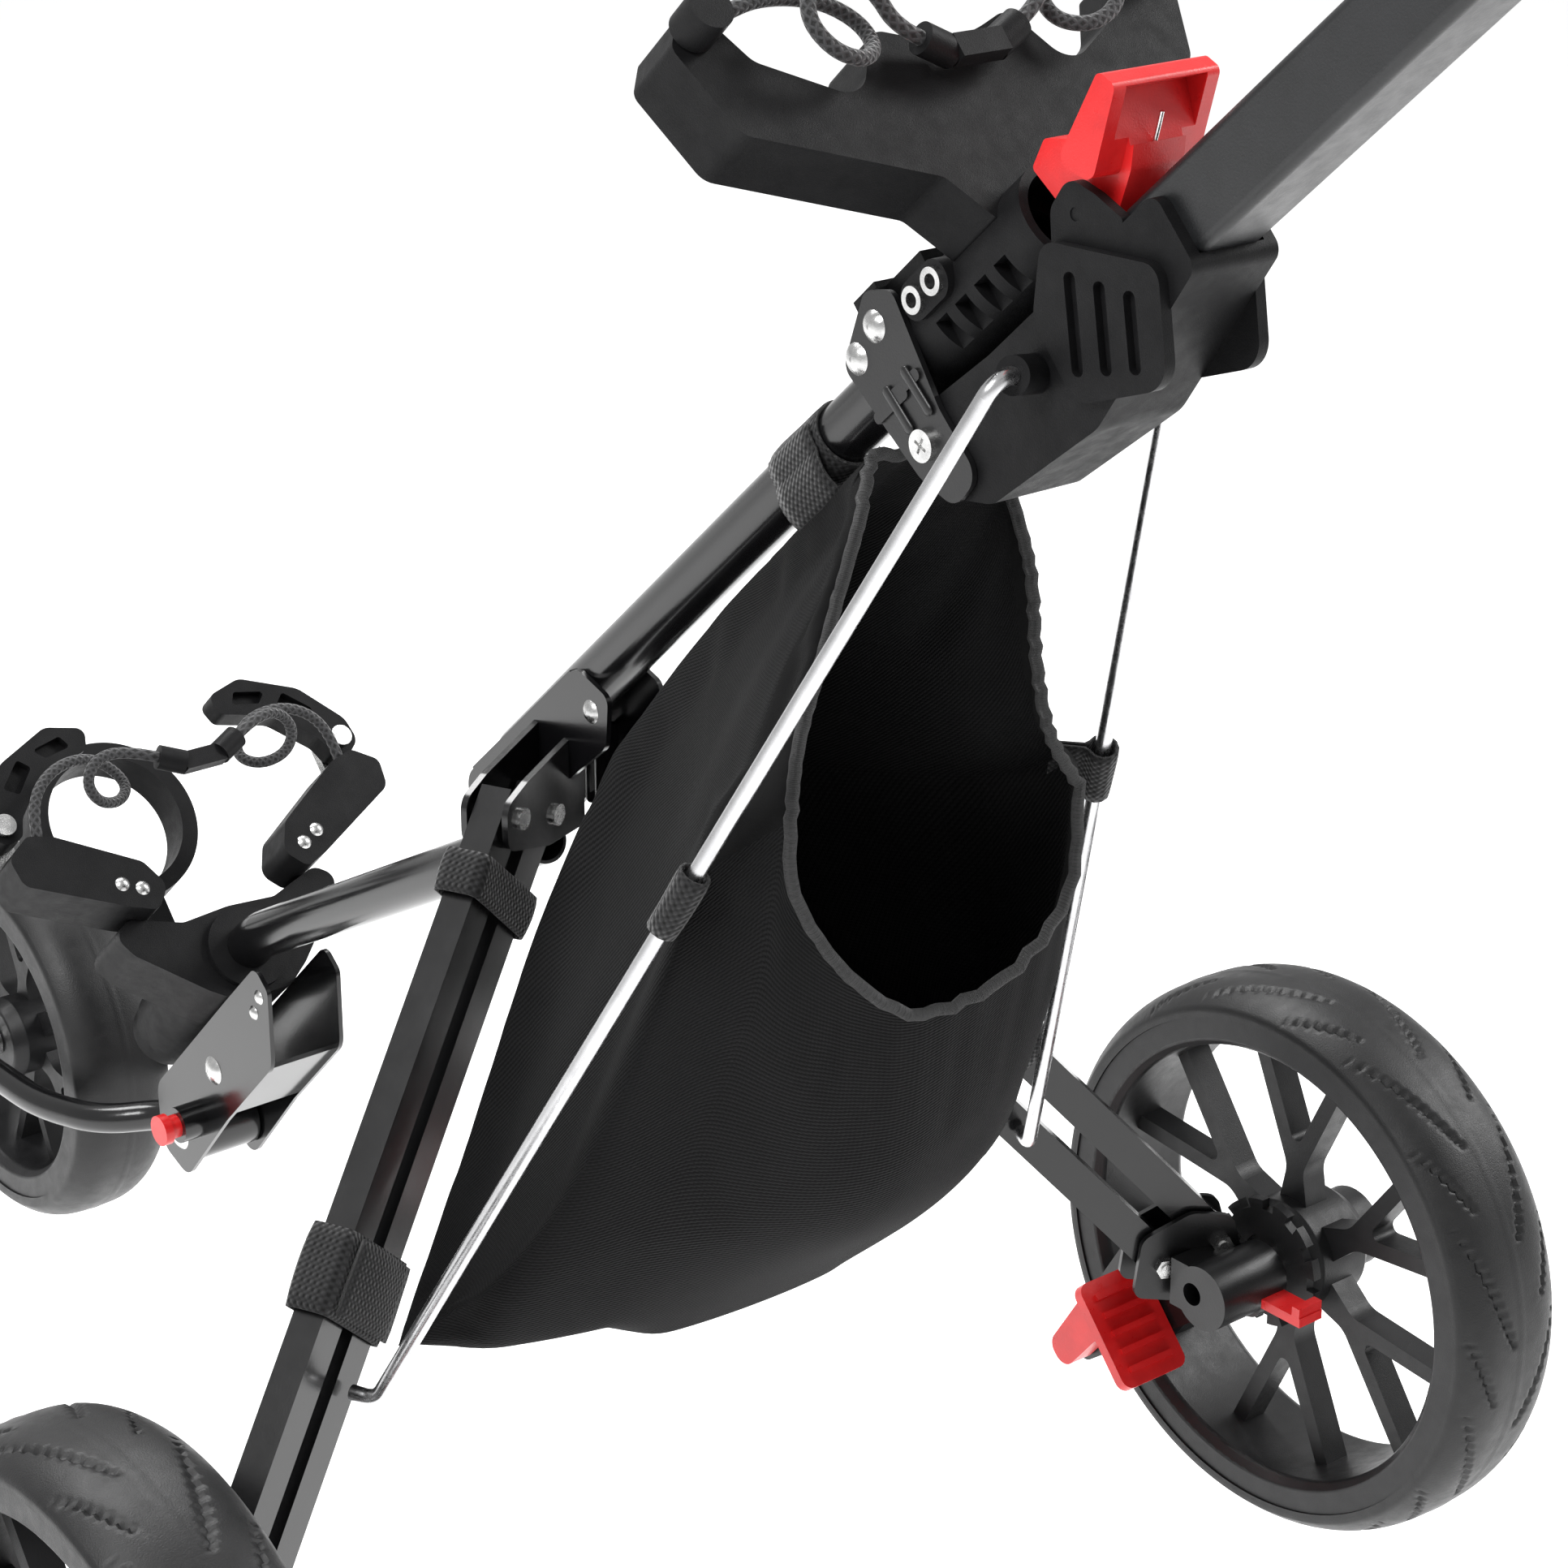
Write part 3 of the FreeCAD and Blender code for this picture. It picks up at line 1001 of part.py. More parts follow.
strap_place = frame(along_tube(148, 0), DOWN_TUBE, X)
strap_outer = drum("strap_outer", strap_place, "sizes.main_tube_dia / 2 + 2.4", "38")
strap_core = drum("strap_core", strap_place, "sizes.main_tube_dia / 2", "38")
node(cut("strap_cut", strap_outer, strap_core), "tube_strap")

for side_name, sign in sides():
    middle = shifted((173.3, 77, 267.6), 11.6, 10.6)
    out = V(sign * LEG_OUT.x, LEG_OUT.y, 0)
    along = V(sign * LEG_DOWN.x, LEG_DOWN.y, LEG_DOWN.z)
    across = out.cross(Z)
    place = frame(side_point(sign, *middle) - along * 19, along, across)
    outer = block("leg_strap_outer_" + side_name, place, "22", "58", "38")
    inner = block("leg_strap_inner_" + side_name, place, "18", "54", "38")
    node(cut("leg_strap_cut_" + side_name, outer, inner), "leg_strap_" + side_name)

# ---------------------------------------------------------------- check and write
doc.recompute()
for obj in doc.Objects:
    if "Invalid" in obj.State or "Error" in obj.State:
        raise RuntimeError("%s failed: %s" % (obj.Label, obj.State))
os.makedirs("parts", exist_ok=True)
for obj in NODES:
    shape = obj.Shape
    if shape.isNull() or not shape.isValid() or not shape.Solids:
        raise RuntimeError("%s has no valid solid" % obj.Label)
    shape.exportStep("parts/%s.step" % obj.Label)
    print("%-26s solids %2d  volume %9.0f" % (obj.Label, len(shape.Solids), shape.Volume))
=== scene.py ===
import bpy
import bmesh
import json
import math
from mathutils import Matrix, Vector, noise


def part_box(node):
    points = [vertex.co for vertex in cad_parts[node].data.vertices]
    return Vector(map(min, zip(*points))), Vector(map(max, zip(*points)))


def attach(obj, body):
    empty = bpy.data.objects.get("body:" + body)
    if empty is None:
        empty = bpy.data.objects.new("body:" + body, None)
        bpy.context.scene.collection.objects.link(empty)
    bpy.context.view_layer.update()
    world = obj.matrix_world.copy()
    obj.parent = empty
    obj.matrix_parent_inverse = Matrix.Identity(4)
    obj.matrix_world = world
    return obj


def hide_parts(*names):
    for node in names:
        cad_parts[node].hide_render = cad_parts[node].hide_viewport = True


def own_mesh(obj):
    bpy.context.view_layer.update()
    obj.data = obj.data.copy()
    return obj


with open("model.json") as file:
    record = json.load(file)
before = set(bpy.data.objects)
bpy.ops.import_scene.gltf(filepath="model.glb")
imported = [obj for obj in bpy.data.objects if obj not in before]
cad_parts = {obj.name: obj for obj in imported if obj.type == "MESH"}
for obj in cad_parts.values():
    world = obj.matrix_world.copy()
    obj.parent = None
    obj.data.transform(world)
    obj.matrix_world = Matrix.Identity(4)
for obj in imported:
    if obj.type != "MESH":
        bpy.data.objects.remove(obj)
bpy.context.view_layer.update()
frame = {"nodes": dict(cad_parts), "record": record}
nodes = frame["nodes"]

# ---------------------------------------------------------------- places, in metres
AXLE_BACK = 0.15475
TAU = 2 * math.pi


def at(x, y, z):
    return Vector((x, y - AXLE_BACK, z))


TILT = math.radians(41.8)
DOWN = Vector((0, math.cos(TILT), -math.sin(TILT)))
OFF = Vector((0, math.sin(TILT), math.cos(TILT)))
TUBE_TOP = at(0, -0.150, 0.748)
SOCKET = at(0, 0.452, 0.2533)
LEG_DOWN = Vector((0.614, -0.275, -0.74)).normalized()
LEG_OUT = Vector((0.9128, -0.4084, 0))
SIDES = (("left", -1), ("right", 1))


def side(sign, x, y, z):
    return at(sign * x, y, z)


# ---------------------------------------------------------------- camera
camera_data = bpy.data.cameras.new("camera")
camera_data.lens = 86.14
camera_data.sensor_width = 36
camera = bpy.data.objects.new("camera", camera_data)
camera.location = (-0.935, -1.30075, 1.073)
camera.rotation_euler = (math.radians(68.34), 0, math.radians(-39.2))
bpy.context.scene.collection.objects.link(camera)
bpy.context.scene.camera = camera


# ---------------------------------------------------------------- materials
class Nodes:
    """A material's node tree, with short names for what these materials use."""

    def __init__(self, name):
        self.material = bpy.data.materials.new(name)
        self.material.use_nodes = True
        self.tree = self.material.node_tree
        self.shader = next(n for n in self.tree.nodes if n.type == "BSDF_PRINCIPLED")
        self.coords = self.tree.nodes.new("ShaderNodeTexCoord")

    def link(self, source, target):
        self.tree.links.new(source, target)

    def math(self, operation, a, b=None):
        node = self.tree.nodes.new("ShaderNodeMath")
        node.operation = operation
        for index, value in enumerate((a, b)):
            if value is None:
                continue
            if isinstance(value, (int, float)):
                node.inputs[index].default_value = value
            else:
                self.link(value, node.inputs[index])
        return node.outputs[0]

    def noise(self, scale, detail=3, rough=0.55, stretch=None, source="Object"):
        node = self.tree.nodes.new("ShaderNodeTexNoise")
        node.inputs["Scale"].default_value = scale
        node.inputs["Detail"].default_value = detail
        node.inputs["Roughness"].default_value = rough
        vector = self.coords.outputs[source]
        if stretch:
            mapping = self.tree.nodes.new("ShaderNodeMapping")
            mapping.inputs["Scale"].default_value = stretch
            self.link(vector, mapping.inputs["Vector"])
            vector = mapping.outputs[0]
        self.link(vector, node.inputs["Vector"])
        return node.outputs["Fac"]

    def spread(self, value, low, high, start=0.3, end=0.7):
        node = self.tree.nodes.new("ShaderNodeMapRange")
        self.link(value, node.inputs[0])
        for index, number in enumerate((start, end, low, high)):
            node.inputs[index + 1].default_value = number
        return node.outputs[0]

    def tint(self, value, first, second):
        node = self.tree.nodes.new("ShaderNodeValToRGB")
        node.color_ramp.elements[0].position = 0.3
        node.color_ramp.elements[1].position = 0.7
        node.color_ramp.elements[0].color = (*first, 1)
        node.color_ramp.elements[1].color = (*second, 1)
        self.link(value, node.inputs[0])
        return node.outputs[0]

    def bump(self, height, distance, strength=1.0):
        node = self.tree.nodes.new("ShaderNodeBump")
        node.inputs["Distance"].default_value = distance
        node.inputs["Strength"].default_value = strength
        self.link(height, node.inputs["Height"])
        previous = self.shader.inputs["Normal"].links
        if previous:
            self.link(previous[0].from_socket, node.inputs["Normal"])
        self.link(node.outputs[0], self.shader.inputs["Normal"])

    def uv(self):
        node = self.tree.nodes.new("ShaderNodeSeparateXYZ")
        self.link(self.coords.outputs["UV"], node.inputs[0])
        return node.outputs[0], node.outputs[1]

    def set(self, **values):
        for name, value in values.items():
            self.shader.inputs[name.replace("_", " ")].default_value = value


def solid(name, dark, light, rough, grain, depth, metallic=0.0, coat=0.0, patch=40, detail=3,
          stretch=None, specular=0.5):
    """Paint, plastic, rubber or metal: two tones, uneven gloss and a fine grain."""
    n = Nodes(name)
    large = n.noise(patch, 4, 0.6)
    n.link(n.tint(large, dark, light), n.shader.inputs["Base Color"])
    gloss = n.spread(n.noise(patch * 3.1, 5, 0.65), rough[0], rough[1])
    n.link(gloss, n.shader.inputs["Roughness"])
    n.bump(n.noise(grain, detail, 0.6, stretch), depth, 0.6)
    n.set(Metallic=metallic, Coat_Weight=coat, Coat_Roughness=0.12, Specular_IOR_Level=specular)
    return n.material


MATERIALS = {
    "gloss_black_steel": solid("gloss_steel", (0.0025, 0.0025, 0.0028), (0.0045, 0.0045, 0.005),
                               (0.17, 0.22), 900, 0.00006, coat=0.3, patch=12),
    "leg_paint": solid("leg_gloss", (0.004, 0.004, 0.0044), (0.0065, 0.0065, 0.007), (0.20, 0.25),
                       1100, 0.00005, coat=0.2, patch=14),
    "satin_black_steel": solid("satin_steel", (0.005, 0.005, 0.0055), (0.009, 0.009, 0.0095),
                               (0.28, 0.38), 1200, 0.00012, patch=16),
    "handle_paint": solid("handle_satin", (0.007, 0.0075, 0.008), (0.012, 0.0125, 0.014),
                          (0.30, 0.42), 1000, 0.00015),
    "black_nylon": solid("nylon", (0.005, 0.005, 0.0055), (0.010, 0.010, 0.0105), (0.38, 0.54),
                         1700, 0.00028, detail=6, specular=0.12),
    "red_plastic": solid("red_moulded", (0.56, 0.008, 0.010), (0.74, 0.017, 0.017), (0.26, 0.4),
                         1300, 0.00015, coat=0.15),
    "bright_rod": solid("drawn_rod", (0.56, 0.56, 0.57), (0.72, 0.72, 0.73), (0.20, 0.32), 700,
                        0.00005, metallic=1.0, stretch=(1, 1, 0.12)),
    "zinc_fastener": solid("zinc", (0.50, 0.50, 0.50), (0.80, 0.80, 0.79), (0.16, 0.34), 1500,
                           0.0001, metallic=1.0, patch=120),
    "tyre_foam": solid("tyre", (0.006, 0.006, 0.0064), (0.012, 0.012, 0.0125), (0.36, 0.5), 1300,
                       0.0003, detail=6, specular=0.4),
    "rim_plastic": solid("wheel_plastic", (0.007, 0.007, 0.0075), (0.014, 0.014, 0.015),
                         (0.34, 0.48), 1600, 0.00022, detail=6, specular=0.36),
    "grip_foam": solid("foam", (0.006, 0.006, 0.006), (0.014, 0.014, 0.014), (0.72, 0.9), 900,
                       0.0012, detail=8),
}


def cloth_material(name, dark, light, pitch, depth, diagonal=True, rough=(0.72, 0.88), sheen=0.25,
                   worn=18, specular=0.2):
    """Woven cloth with threads of the given pitch, in metres of a UV laid out in metres."""
    n = Nodes(name)
    u, v = n.uv()
    warp = n.math("SINE", n.math("MULTIPLY", u, TAU / pitch))
    weft = n.math("SINE", n.math("MULTIPLY", v, TAU / pitch))
    if diagonal:
        slope = n.math("SINE", n.math("MULTIPLY", n.math("ADD", u, n.math("MULTIPLY", v, 0.8)),
                                      TAU / (pitch * 1.7)))
        threads = n.math("ADD", n.math("MULTIPLY", n.math("ADD", warp, weft), 0.3), slope)
    else:
        threads = n.math("ADD", n.math("MULTIPLY", warp, weft), n.math("MULTIPLY", warp, 0.5))
    height = n.spread(threads, 0, 1, -1.3, 1.3)
    fuzz = n.noise(1400, 4, 0.7)
    worn_share = n.math("MULTIPLY", n.noise(worn, 5, 0.65), 0.45)
    mix = n.math("ADD", n.math("MULTIPLY", height, 0.55), worn_share)
    n.link(n.tint(mix, dark, light), n.shader.inputs["Base Color"])
    n.link(n.spread(fuzz, rough[0], rough[1]), n.shader.inputs["Roughness"])
    n.bump(height, depth, 0.8)
    n.bump(fuzz, depth * 0.35, 0.4)
    n.set(Sheen_Weight=sheen, Sheen_Roughness=0.45, Specular_IOR_Level=specular)
    return n.material


MATERIALS["pouch_fabric"] = cloth_material("polyester", (0.004, 0.004, 0.0042),
                                           (0.011, 0.011, 0.0114), 0.0019, 0.0005, sheen=0.02,
                                           specular=0.1)
MATERIALS["webbing"] = cloth_material("webbing", (0.006, 0.006, 0.006), (0.030, 0.030, 0.031),
                                      0.0032, 0.0009, diagonal=False)
MATERIALS["binding"] = cloth_material("binding", (0.006, 0.006, 0.006), (0.026, 0.026, 0.027),
                                      0.0026, 0.0007, diagonal=False)


def braid_material(name, turns, strands):
    n = Nodes(name)
    u, v = n.uv()
    along = n.math("MULTIPLY", u, TAU * turns)
    around = n.math("MULTIPLY", v, TAU * strands)
    first = n.math("SINE", n.math("ADD", along, around))
    second = n.math("SINE", n.math("SUBTRACT", along, around))
    height = n.spread(n.math("MAXIMUM", first, second), 0, 1, -0.6, 1)
    n.link(n.tint(height, (0.006, 0.006, 0.006), (0.038, 0.038, 0.040)),
           n.shader.inputs["Base Color"])
    n.link(n.spread(n.noise(1200, 4), 0.6, 0.85), n.shader.inputs["Roughness"])
    n.bump(height, 0.0006, 0.9)
    n.set(Sheen_Weight=0.3, Sheen_Roughness=0.4)
    return n.material


MATERIALS["elastic_cord"] = braid_material("braid", 46, 5)

for part in frame["record"]["subparts"]:
    material = MATERIALS[part["material_slot"]]
    for slot in nodes[part["node"]].material_slots:
        slot.link = "OBJECT"
        slot.material = material
    if not nodes[part["node"]].material_slots:
        nodes[part["node"]].data.materials.append(material)


# ---------------------------------------------------------------- mesh helpers
def mesh_piece(name, verts, faces, slot, uvs=None, smooth=True, material=None):
    mesh = bpy.data.meshes.new(name)
    mesh.from_pydata([tuple(v) for v in verts], [], faces)
    if uvs:
        layer = mesh.uv_layers.new(name="UVMap")
        for polygon in mesh.polygons:
            for loop in polygon.loop_indices:
                layer.data[loop].uv = uvs[mesh.loops[loop].vertex_index]
    mesh.materials.append(MATERIALS[material or slot])
    for polygon in mesh.polygons:
        polygon.use_smooth = smooth
    mesh.validate()
    obj = bpy.data.objects.new(name, mesh)
    bpy.context.scene.collection.objects.link(obj)
    return obj


def recalc(obj):
    bm = bmesh.new()
    bm.from_mesh(obj.data)
    bmesh.ops.recalc_face_normals(bm, faces=bm.faces)
    bm.to_mesh(obj.data)
    bm.free()


def curve_piece(name, points, radius, slot, kind="NURBS", closed=False, flat=None, material=None):
    data = bpy.data.curves.new(name, "CURVE")
    data.dimensions = "3D"
    data.bevel_depth = radius
    data.bevel_resolution = 5
    data.resolution_u = 16
    data.use_fill_caps = True
    spline = data.splines.new(kind)
    spline.points.add(len(points) - 1)
    for point, place in zip(spline.points, points):
        point.co = (*place, 1)
    if kind == "NURBS":
        spline.order_u = 3
        spline.use_endpoint_u = not closed
    spline.use_cyclic_u = closed
    data.materials.append(MATERIALS[material or slot])
    obj = bpy.data.objects.new(name, data)
    bpy.context.scene.collection.objects.link(obj)
    return obj


def band(name, loop, width_dir, width, thickness, slot, closed=True, crown=0.0):
    """A strap of webbing that follows a loop of points, with its width along width_dir."""
    count = len(loop)
    centre = sum(loop, Vector()) / count
    rows = 7
    verts, uvs, faces = [], [], []
    run = 0.0
    for index in range(count + (1 if closed else 0)):
        here = loop[index % count]
        after = loop[(index + 1) % count] if closed or index < count - 1 else here
        before = loop[(index - 1) % count] if closed or index > 0 else here
        tangent = (after - before).normalized()
        outward = tangent.cross(width_dir).normalized()
        if index:
            run += (here - loop[(index - 1) % count]).length
        for layer in (1, -1):
            for row in range(rows):
                share = row / (rows - 1) * 2 - 1
                edge = 1 - 0.35 * abs(share) ** 6
                wave = 0.0003 * math.sin(run * 90 + share * 2)
                verts.append(here + width_dir * (share * width / 2)
                             + outward * (layer * thickness / 2 * edge + wave
                                          + crown * (1 - share * share)))
                uvs.append((run, share * width / 2 + (0.5 if layer < 0 else 0)))
    step = rows * 2
    total = count + (1 if closed else 0)
    for index in range(total - 1):
        a, b = index * step, (index + 1) * step
        for row in range(rows - 1):
            faces.append((a + row, b + row, b + row + 1, a + row + 1))
            faces.append((a + rows + row, a + rows + row + 1, b + rows + row + 1, b + rows + row))
        faces.append((a, a + rows, b + rows, b))
        faces.append((a + rows - 1, b + rows - 1, b + 2 * rows - 1, a + 2 * rows - 1))
    if not closed:
        for a in (0, (total - 1) * step):
            faces.append(tuple(a + row for row in range(rows))
                         + tuple(a + 2 * rows - 1 - row for row in range(rows)))
    obj = mesh_piece(name, verts, faces, slot, uvs)
    recalc(obj)
    return obj


def rounded_loop(centre, a, b, half_a, half_b, radius, steps=6):
    points = []
    for sign_a, sign_b, start in ((1, 1, 0), (-1, 1, 1), (-1, -1, 2), (1, -1, 3)):
        for step in range(steps + 1):
            angle = (start + step / steps) * math.pi / 2
            points.append(centre + a * (sign_a * (half_a - radius) + radius * math.cos(angle))
                          + b * (sign_b * (half_b - radius) + radius * math.sin(angle)))
    dense = []
    for index, point in enumerate(points):
        after = points[(index + 1) % len(points)]
        parts = max(1, round((after - point).length / 0.004))
        dense += [point.lerp(after, k / parts) for k in range(parts)]
    return dense


# ---------------------------------------------------------------- elastic cords
# Across the cart, off the tube and down the tube, from the tube's top or the socket's start.
UPPER_CORD = ((0.1045, 0.103, -0.014), (0.094, 0.106, -0.015), (0.082, 0.107, -0.015),
              (0.068, 0.106, -0.014), (0.054, 0.102, -0.013), (0.044, 0.092, -0.013),
              (0.045, 0.080, -0.015), (0.057, 0.074, -0.019), (0.071, 0.079, -0.022),
              (0.077, 0.092, -0.024), (0.070, 0.105, -0.027), (0.055, 0.107, -0.029),
              (0.043, 0.097, -0.026), (0.035, 0.086, -0.019), (0.024, 0.081, -0.0165))
LOWER_CORD = ((0.093, 0.0855, -0.008), (0.092, 0.098, -0.012), (0.084, 0.112, -0.016),
              (0.068, 0.120, -0.018), (0.050, 0.120, -0.015), (0.038, 0.112, -0.011),
              (0.034, 0.100, -0.011), (0.044, 0.092, -0.014), (0.058, 0.093, -0.020),
              (0.064, 0.103, -0.027), (0.056, 0.113, -0.033), (0.040, 0.112, -0.036),
              (0.024, 0.104, -0.036))
CORD_DIAMETER = 0.006
for label, route, start, length in (("upper", UPPER_CORD, TUBE_TOP, 0.1918),
                                    ("lower", LOWER_CORD, SOCKET, 0.177)):
    for name, sign in SIDES:
        points = [start + DOWN * down + OFF * off + Vector((sign * across, 0, 0))
                  for across, off, down in route]
        cord = curve_piece("cord_%s_%s" % (label, name), points, CORD_DIAMETER / 2,
                           "elastic_cord")
        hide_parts("%s_bungee_%s" % (label, name))
        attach(cord, "frame")


# ---------------------------------------------------------------- tyres
# Each groove: its place in a pitch, its lean, its width in pitches, and where it starts and ends
# across the tread, as shares of the half width.
GROOVES = ((0.0, 0.95, 0.060, 0.12, 0.90), (0.52, 0.75, 0.040, 0.40, 0.99))
GROOVES_ROUND, GROOVE_DEPTH, SHOULDER = 9, 0.0020, 0.0105
REAR_BEAD, FRONT_BEAD = 0.131, 0.096


def tyre(name, node, rim_radius, body, grooves, segments=900):
    """A tyre turned about X, with curved flame-shaped grooves and a mould line."""
    low, high = (Vector(v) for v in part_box(node))
    centre = (low + high) / 2
    radius, half = (high.z - low.z) / 2, (high.x - low.x) / 2
    across = 34
    profile = [(-half, rim_radius), (-half, rim_radius + (radius - 0.011 - rim_radius) * 0.5)]
    for index in range(across + 1):
        share = index / across * 2 - 1
        profile.append((half * share, radius - SHOULDER * abs(share) ** 3.4))
    profile += [(half, rim_radius + (radius - 0.011 - rim_radius) * 0.5), (half, rim_radius)]
    verts, faces, uvs = [], [], []
    for segment in range(segments):
        angle = TAU * segment / segments
        for x, r in profile:
            share = x / half
            depth = 0.0
            if grooves and r > radius - 0.010:
                reach = abs(share)
                for shift, lean, wide, start, end in GROOVES:
                    phase = angle / TAU * GROOVES_ROUND + shift + (0.5 if share < 0 else 0) \
                        + lean * reach ** 1.3
                    offset = abs((phase + 0.5) % 1 - 0.5)
                    if start < reach < end:
                        run = ((reach - start) / (end - start)) ** 0.7
                        body_width = wide * math.sin(math.pi * run)
                        if offset < body_width:
                            edge = min(1.0, (body_width - offset) / 0.020)
                            depth = max(depth, GROOVE_DEPTH * edge * edge * (3 - 2 * edge))
            if abs(share) < 0.02:
                depth -= 0.0003
            r = r - depth
            verts.append(centre + Vector((x, r * math.cos(angle), r * math.sin(angle))))
            uvs.append((angle * radius, x))
    count = len(profile)
    for segment in range(segments):
        a, b = segment * count, (segment + 1) % segments * count
        for index in range(count):
            after = (index + 1) % count
            faces.append((a + index, b + index, b + after, a + after))
    obj = mesh_piece(name, verts, faces, "tyre_foam", uvs)
    recalc(obj)
    obj.data.set_sharp_from_angle(angle=math.radians(50))
    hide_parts(node)
    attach(obj, body)
    return obj


tyre("tread_left", "rear_tyre_left", REAR_BEAD, "wheel_left", True)
tyre("tread_right", "rear_tyre_right", REAR_BEAD, "wheel_right", True)
tyre("tread_front", "front_tyre", FRONT_BEAD, "front_wheel", False, 360)


# ---------------------------------------------------------------- grip
def lathe(name, centre, profile, slot, body, segments=64, ripple=None):
    """A form turned about X from (x, radius) pairs."""
    verts, faces, uvs = [], [], []
    for segment in range(segments):
        angle = TAU * segment / segments
        for x, r in profile:
            grow = ripple(x, angle) if ripple else 0
            verts.append(centre + Vector((x, (r + grow) * math.cos(angle),
                                          (r + grow) * math.sin(angle))))
            uvs.append((angle * 0.02, x))
    count = len(profile)
    for segment in range(segments):
        a, b = segment * count, (segment + 1) % segments * count
        for index in range(count - 1):
            faces.append((a + index, b + index, b + index + 1, a + index + 1))
    for end in (0, count - 1):
        faces.append(tuple(segment * count + end for segment in range(segments)))
    obj = mesh_piece(name, verts, faces, slot, uvs)
    recalc(obj)
    obj.data.set_sharp_from_angle(angle=math.radians(40))
    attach(obj, body)
    return obj


low, high = (Vector(v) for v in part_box("grip_foam"))
grip_centre, grip_half, grip_radius = (low + high) / 2, (high.x - low.x) / 2, (high.z - low.z) / 2
grip_profile = [(-grip_half, grip_radius * 0.55), (-grip_half, grip_radius * 0.86)]
for index in range(61):
    share = index / 60 * 2 - 1
    end = max(0.0, (abs(share) - 0.95) / 0.05)
    crown = 1 - 0.035 * (1 - abs(share)) ** 0.5
    grip_profile.append((grip_half * share * 0.998,
                         grip_radius * (crown - 0.12 * end * end)
                         - (0.0006 if index in (4, 56) else 0)))
grip_profile += [(grip_half, grip_radius * 0.86), (grip_half, grip_radius * 0.55)]
grip = lathe("handle_grip", grip_centre, grip_profile, "grip_foam", "handle",
             ripple=lambda x, a: 0.00035 * math.sin(x * 60) * math.sin(a * 2))
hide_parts("grip_foam")

# ---------------------------------------------------------------- straps
STRAP_WIDTH, STRAP_THICK, END_WIDTH = 0.038, 0.0022, 0.034
LEG_STRAP_THICK, KNEE_STRAP_THICK = 0.002, 0.0018
low, high = (Vector(v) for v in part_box("tube_strap"))
strap_middle = (low + high) / 2
strap_radius = (high.x - low.x) / 2 - 0.0012
ring = [strap_middle + Vector((1, 0, 0)) * (strap_radius * math.cos(TAU * k / 60))
        + OFF * (strap_radius * math.sin(TAU * k / 60)) for k in range(60)]
tube_band = band("tube_band", ring, DOWN, STRAP_WIDTH, STRAP_THICK, "webbing")
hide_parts("tube_strap")
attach(tube_band, "frame")
turn = math.radians(150)
tail = []
for k in range(14):
    angle = turn + k * 0.12
    grow = STRAP_THICK + max(0, k - 6) * 0.0016
    tail.append(strap_middle + Vector((1, 0, 0)) * ((strap_radius + grow) * math.cos(angle))
                + OFF * ((strap_radius + grow) * math.sin(angle)))
tube_tail = band("tube_band_end", tail, DOWN, END_WIDTH, STRAP_THICK, "webbing", closed=False)
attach(tube_tail, "frame")

for name, sign in SIDES:
    out = Vector((sign * LEG_OUT.x, LEG_OUT.y, 0))
    along = Vector((sign * LEG_DOWN.x, LEG_DOWN.y, LEG_DOWN.z))
    across = out.cross(Vector((0, 0, 1))).normalized()
    up = along.cross(across).normalized()
    low, high = (Vector(v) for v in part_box("leg_strap_" + name))
    middle = (low + high) / 2
    loop = rounded_loop(middle, across, up, 0.010, 0.028, 0.004)
    leg_band = band("leg_band_" + name, loop, along, STRAP_WIDTH, LEG_STRAP_THICK, "webbing",
                    crown=0.0006)
    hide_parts("leg_strap_" + name)
    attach(leg_band, "lower_leg_" + name)
    lap = [middle + across * (-0.0135 - 0.0012 * math.sin(k / 9 * math.pi))
           + up * (0.024 - 0.0052 * k) for k in range(10)]
    lap_piece = band("leg_band_end_" + name, lap, along, END_WIDTH, LEG_STRAP_THICK, "webbing",
                     closed=False)
    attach(lap_piece, "lower_leg_" + name)
    knee = side(sign, 0.07056, 0.1233, 0.413)
    small = band("knee_band_" + name, rounded_loop(knee, across, up, 0.0105, 0.0285, 0.004), along,
                 0.020, KNEE_STRAP_THICK, "webbing", crown=0.0004)
    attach(small, "lower_leg_" + name)

# ---------------------------------------------------------------- storage pouch
# The corners of one side: at the tube's top, behind the knee, at the leg's strap and at the rod.
TOP, KNEE = (0.013, -0.070, 0.649), (0.0135, 0.104, 0.472)
CORNER, RIM = (0.176, 0.047, 0.255), (0.104, -0.070, 0.494)


def smooth_path(points, count):
    """Points evenly along a smooth line through the given ones."""
    ends = [points[0] * 2 - points[1]] + points + [points[-1] * 2 - points[-2]]
    fine = []
    for index in range(1, len(ends) - 2):
        p0, p1, p2, p3 = ends[index - 1:index + 3]
        for step in range(24):
            t = step / 24
            fine.append(0.5 * (2 * p1 + (p2 - p0) * t + (2 * p0 - 5 * p1 + 4 * p2 - p3) * t * t
                               + (3 * p1 - p0 - 3 * p2 + p3) * t ** 3))
    fine.append(points[-1])
    runs = [0.0]
    for a, b in zip(fine, fine[1:]):
        runs.append(runs[-1] + (b - a).length)
    result, cursor = [], 0
    for index in range(count):
        goal = runs[-1] * index / (count - 1)
        while cursor < len(runs) - 2 and runs[cursor + 1] < goal:
            cursor += 1
        share = (goal - runs[cursor]) / max(1e-9, runs[cursor + 1] - runs[cursor])
        result.append(fine[cursor].lerp(fine[cursor + 1], min(1, share)))
    return result


LIP = {-1: (0.079, -0.100, 0.521), 1: (0.076, -0.100, 0.497)}
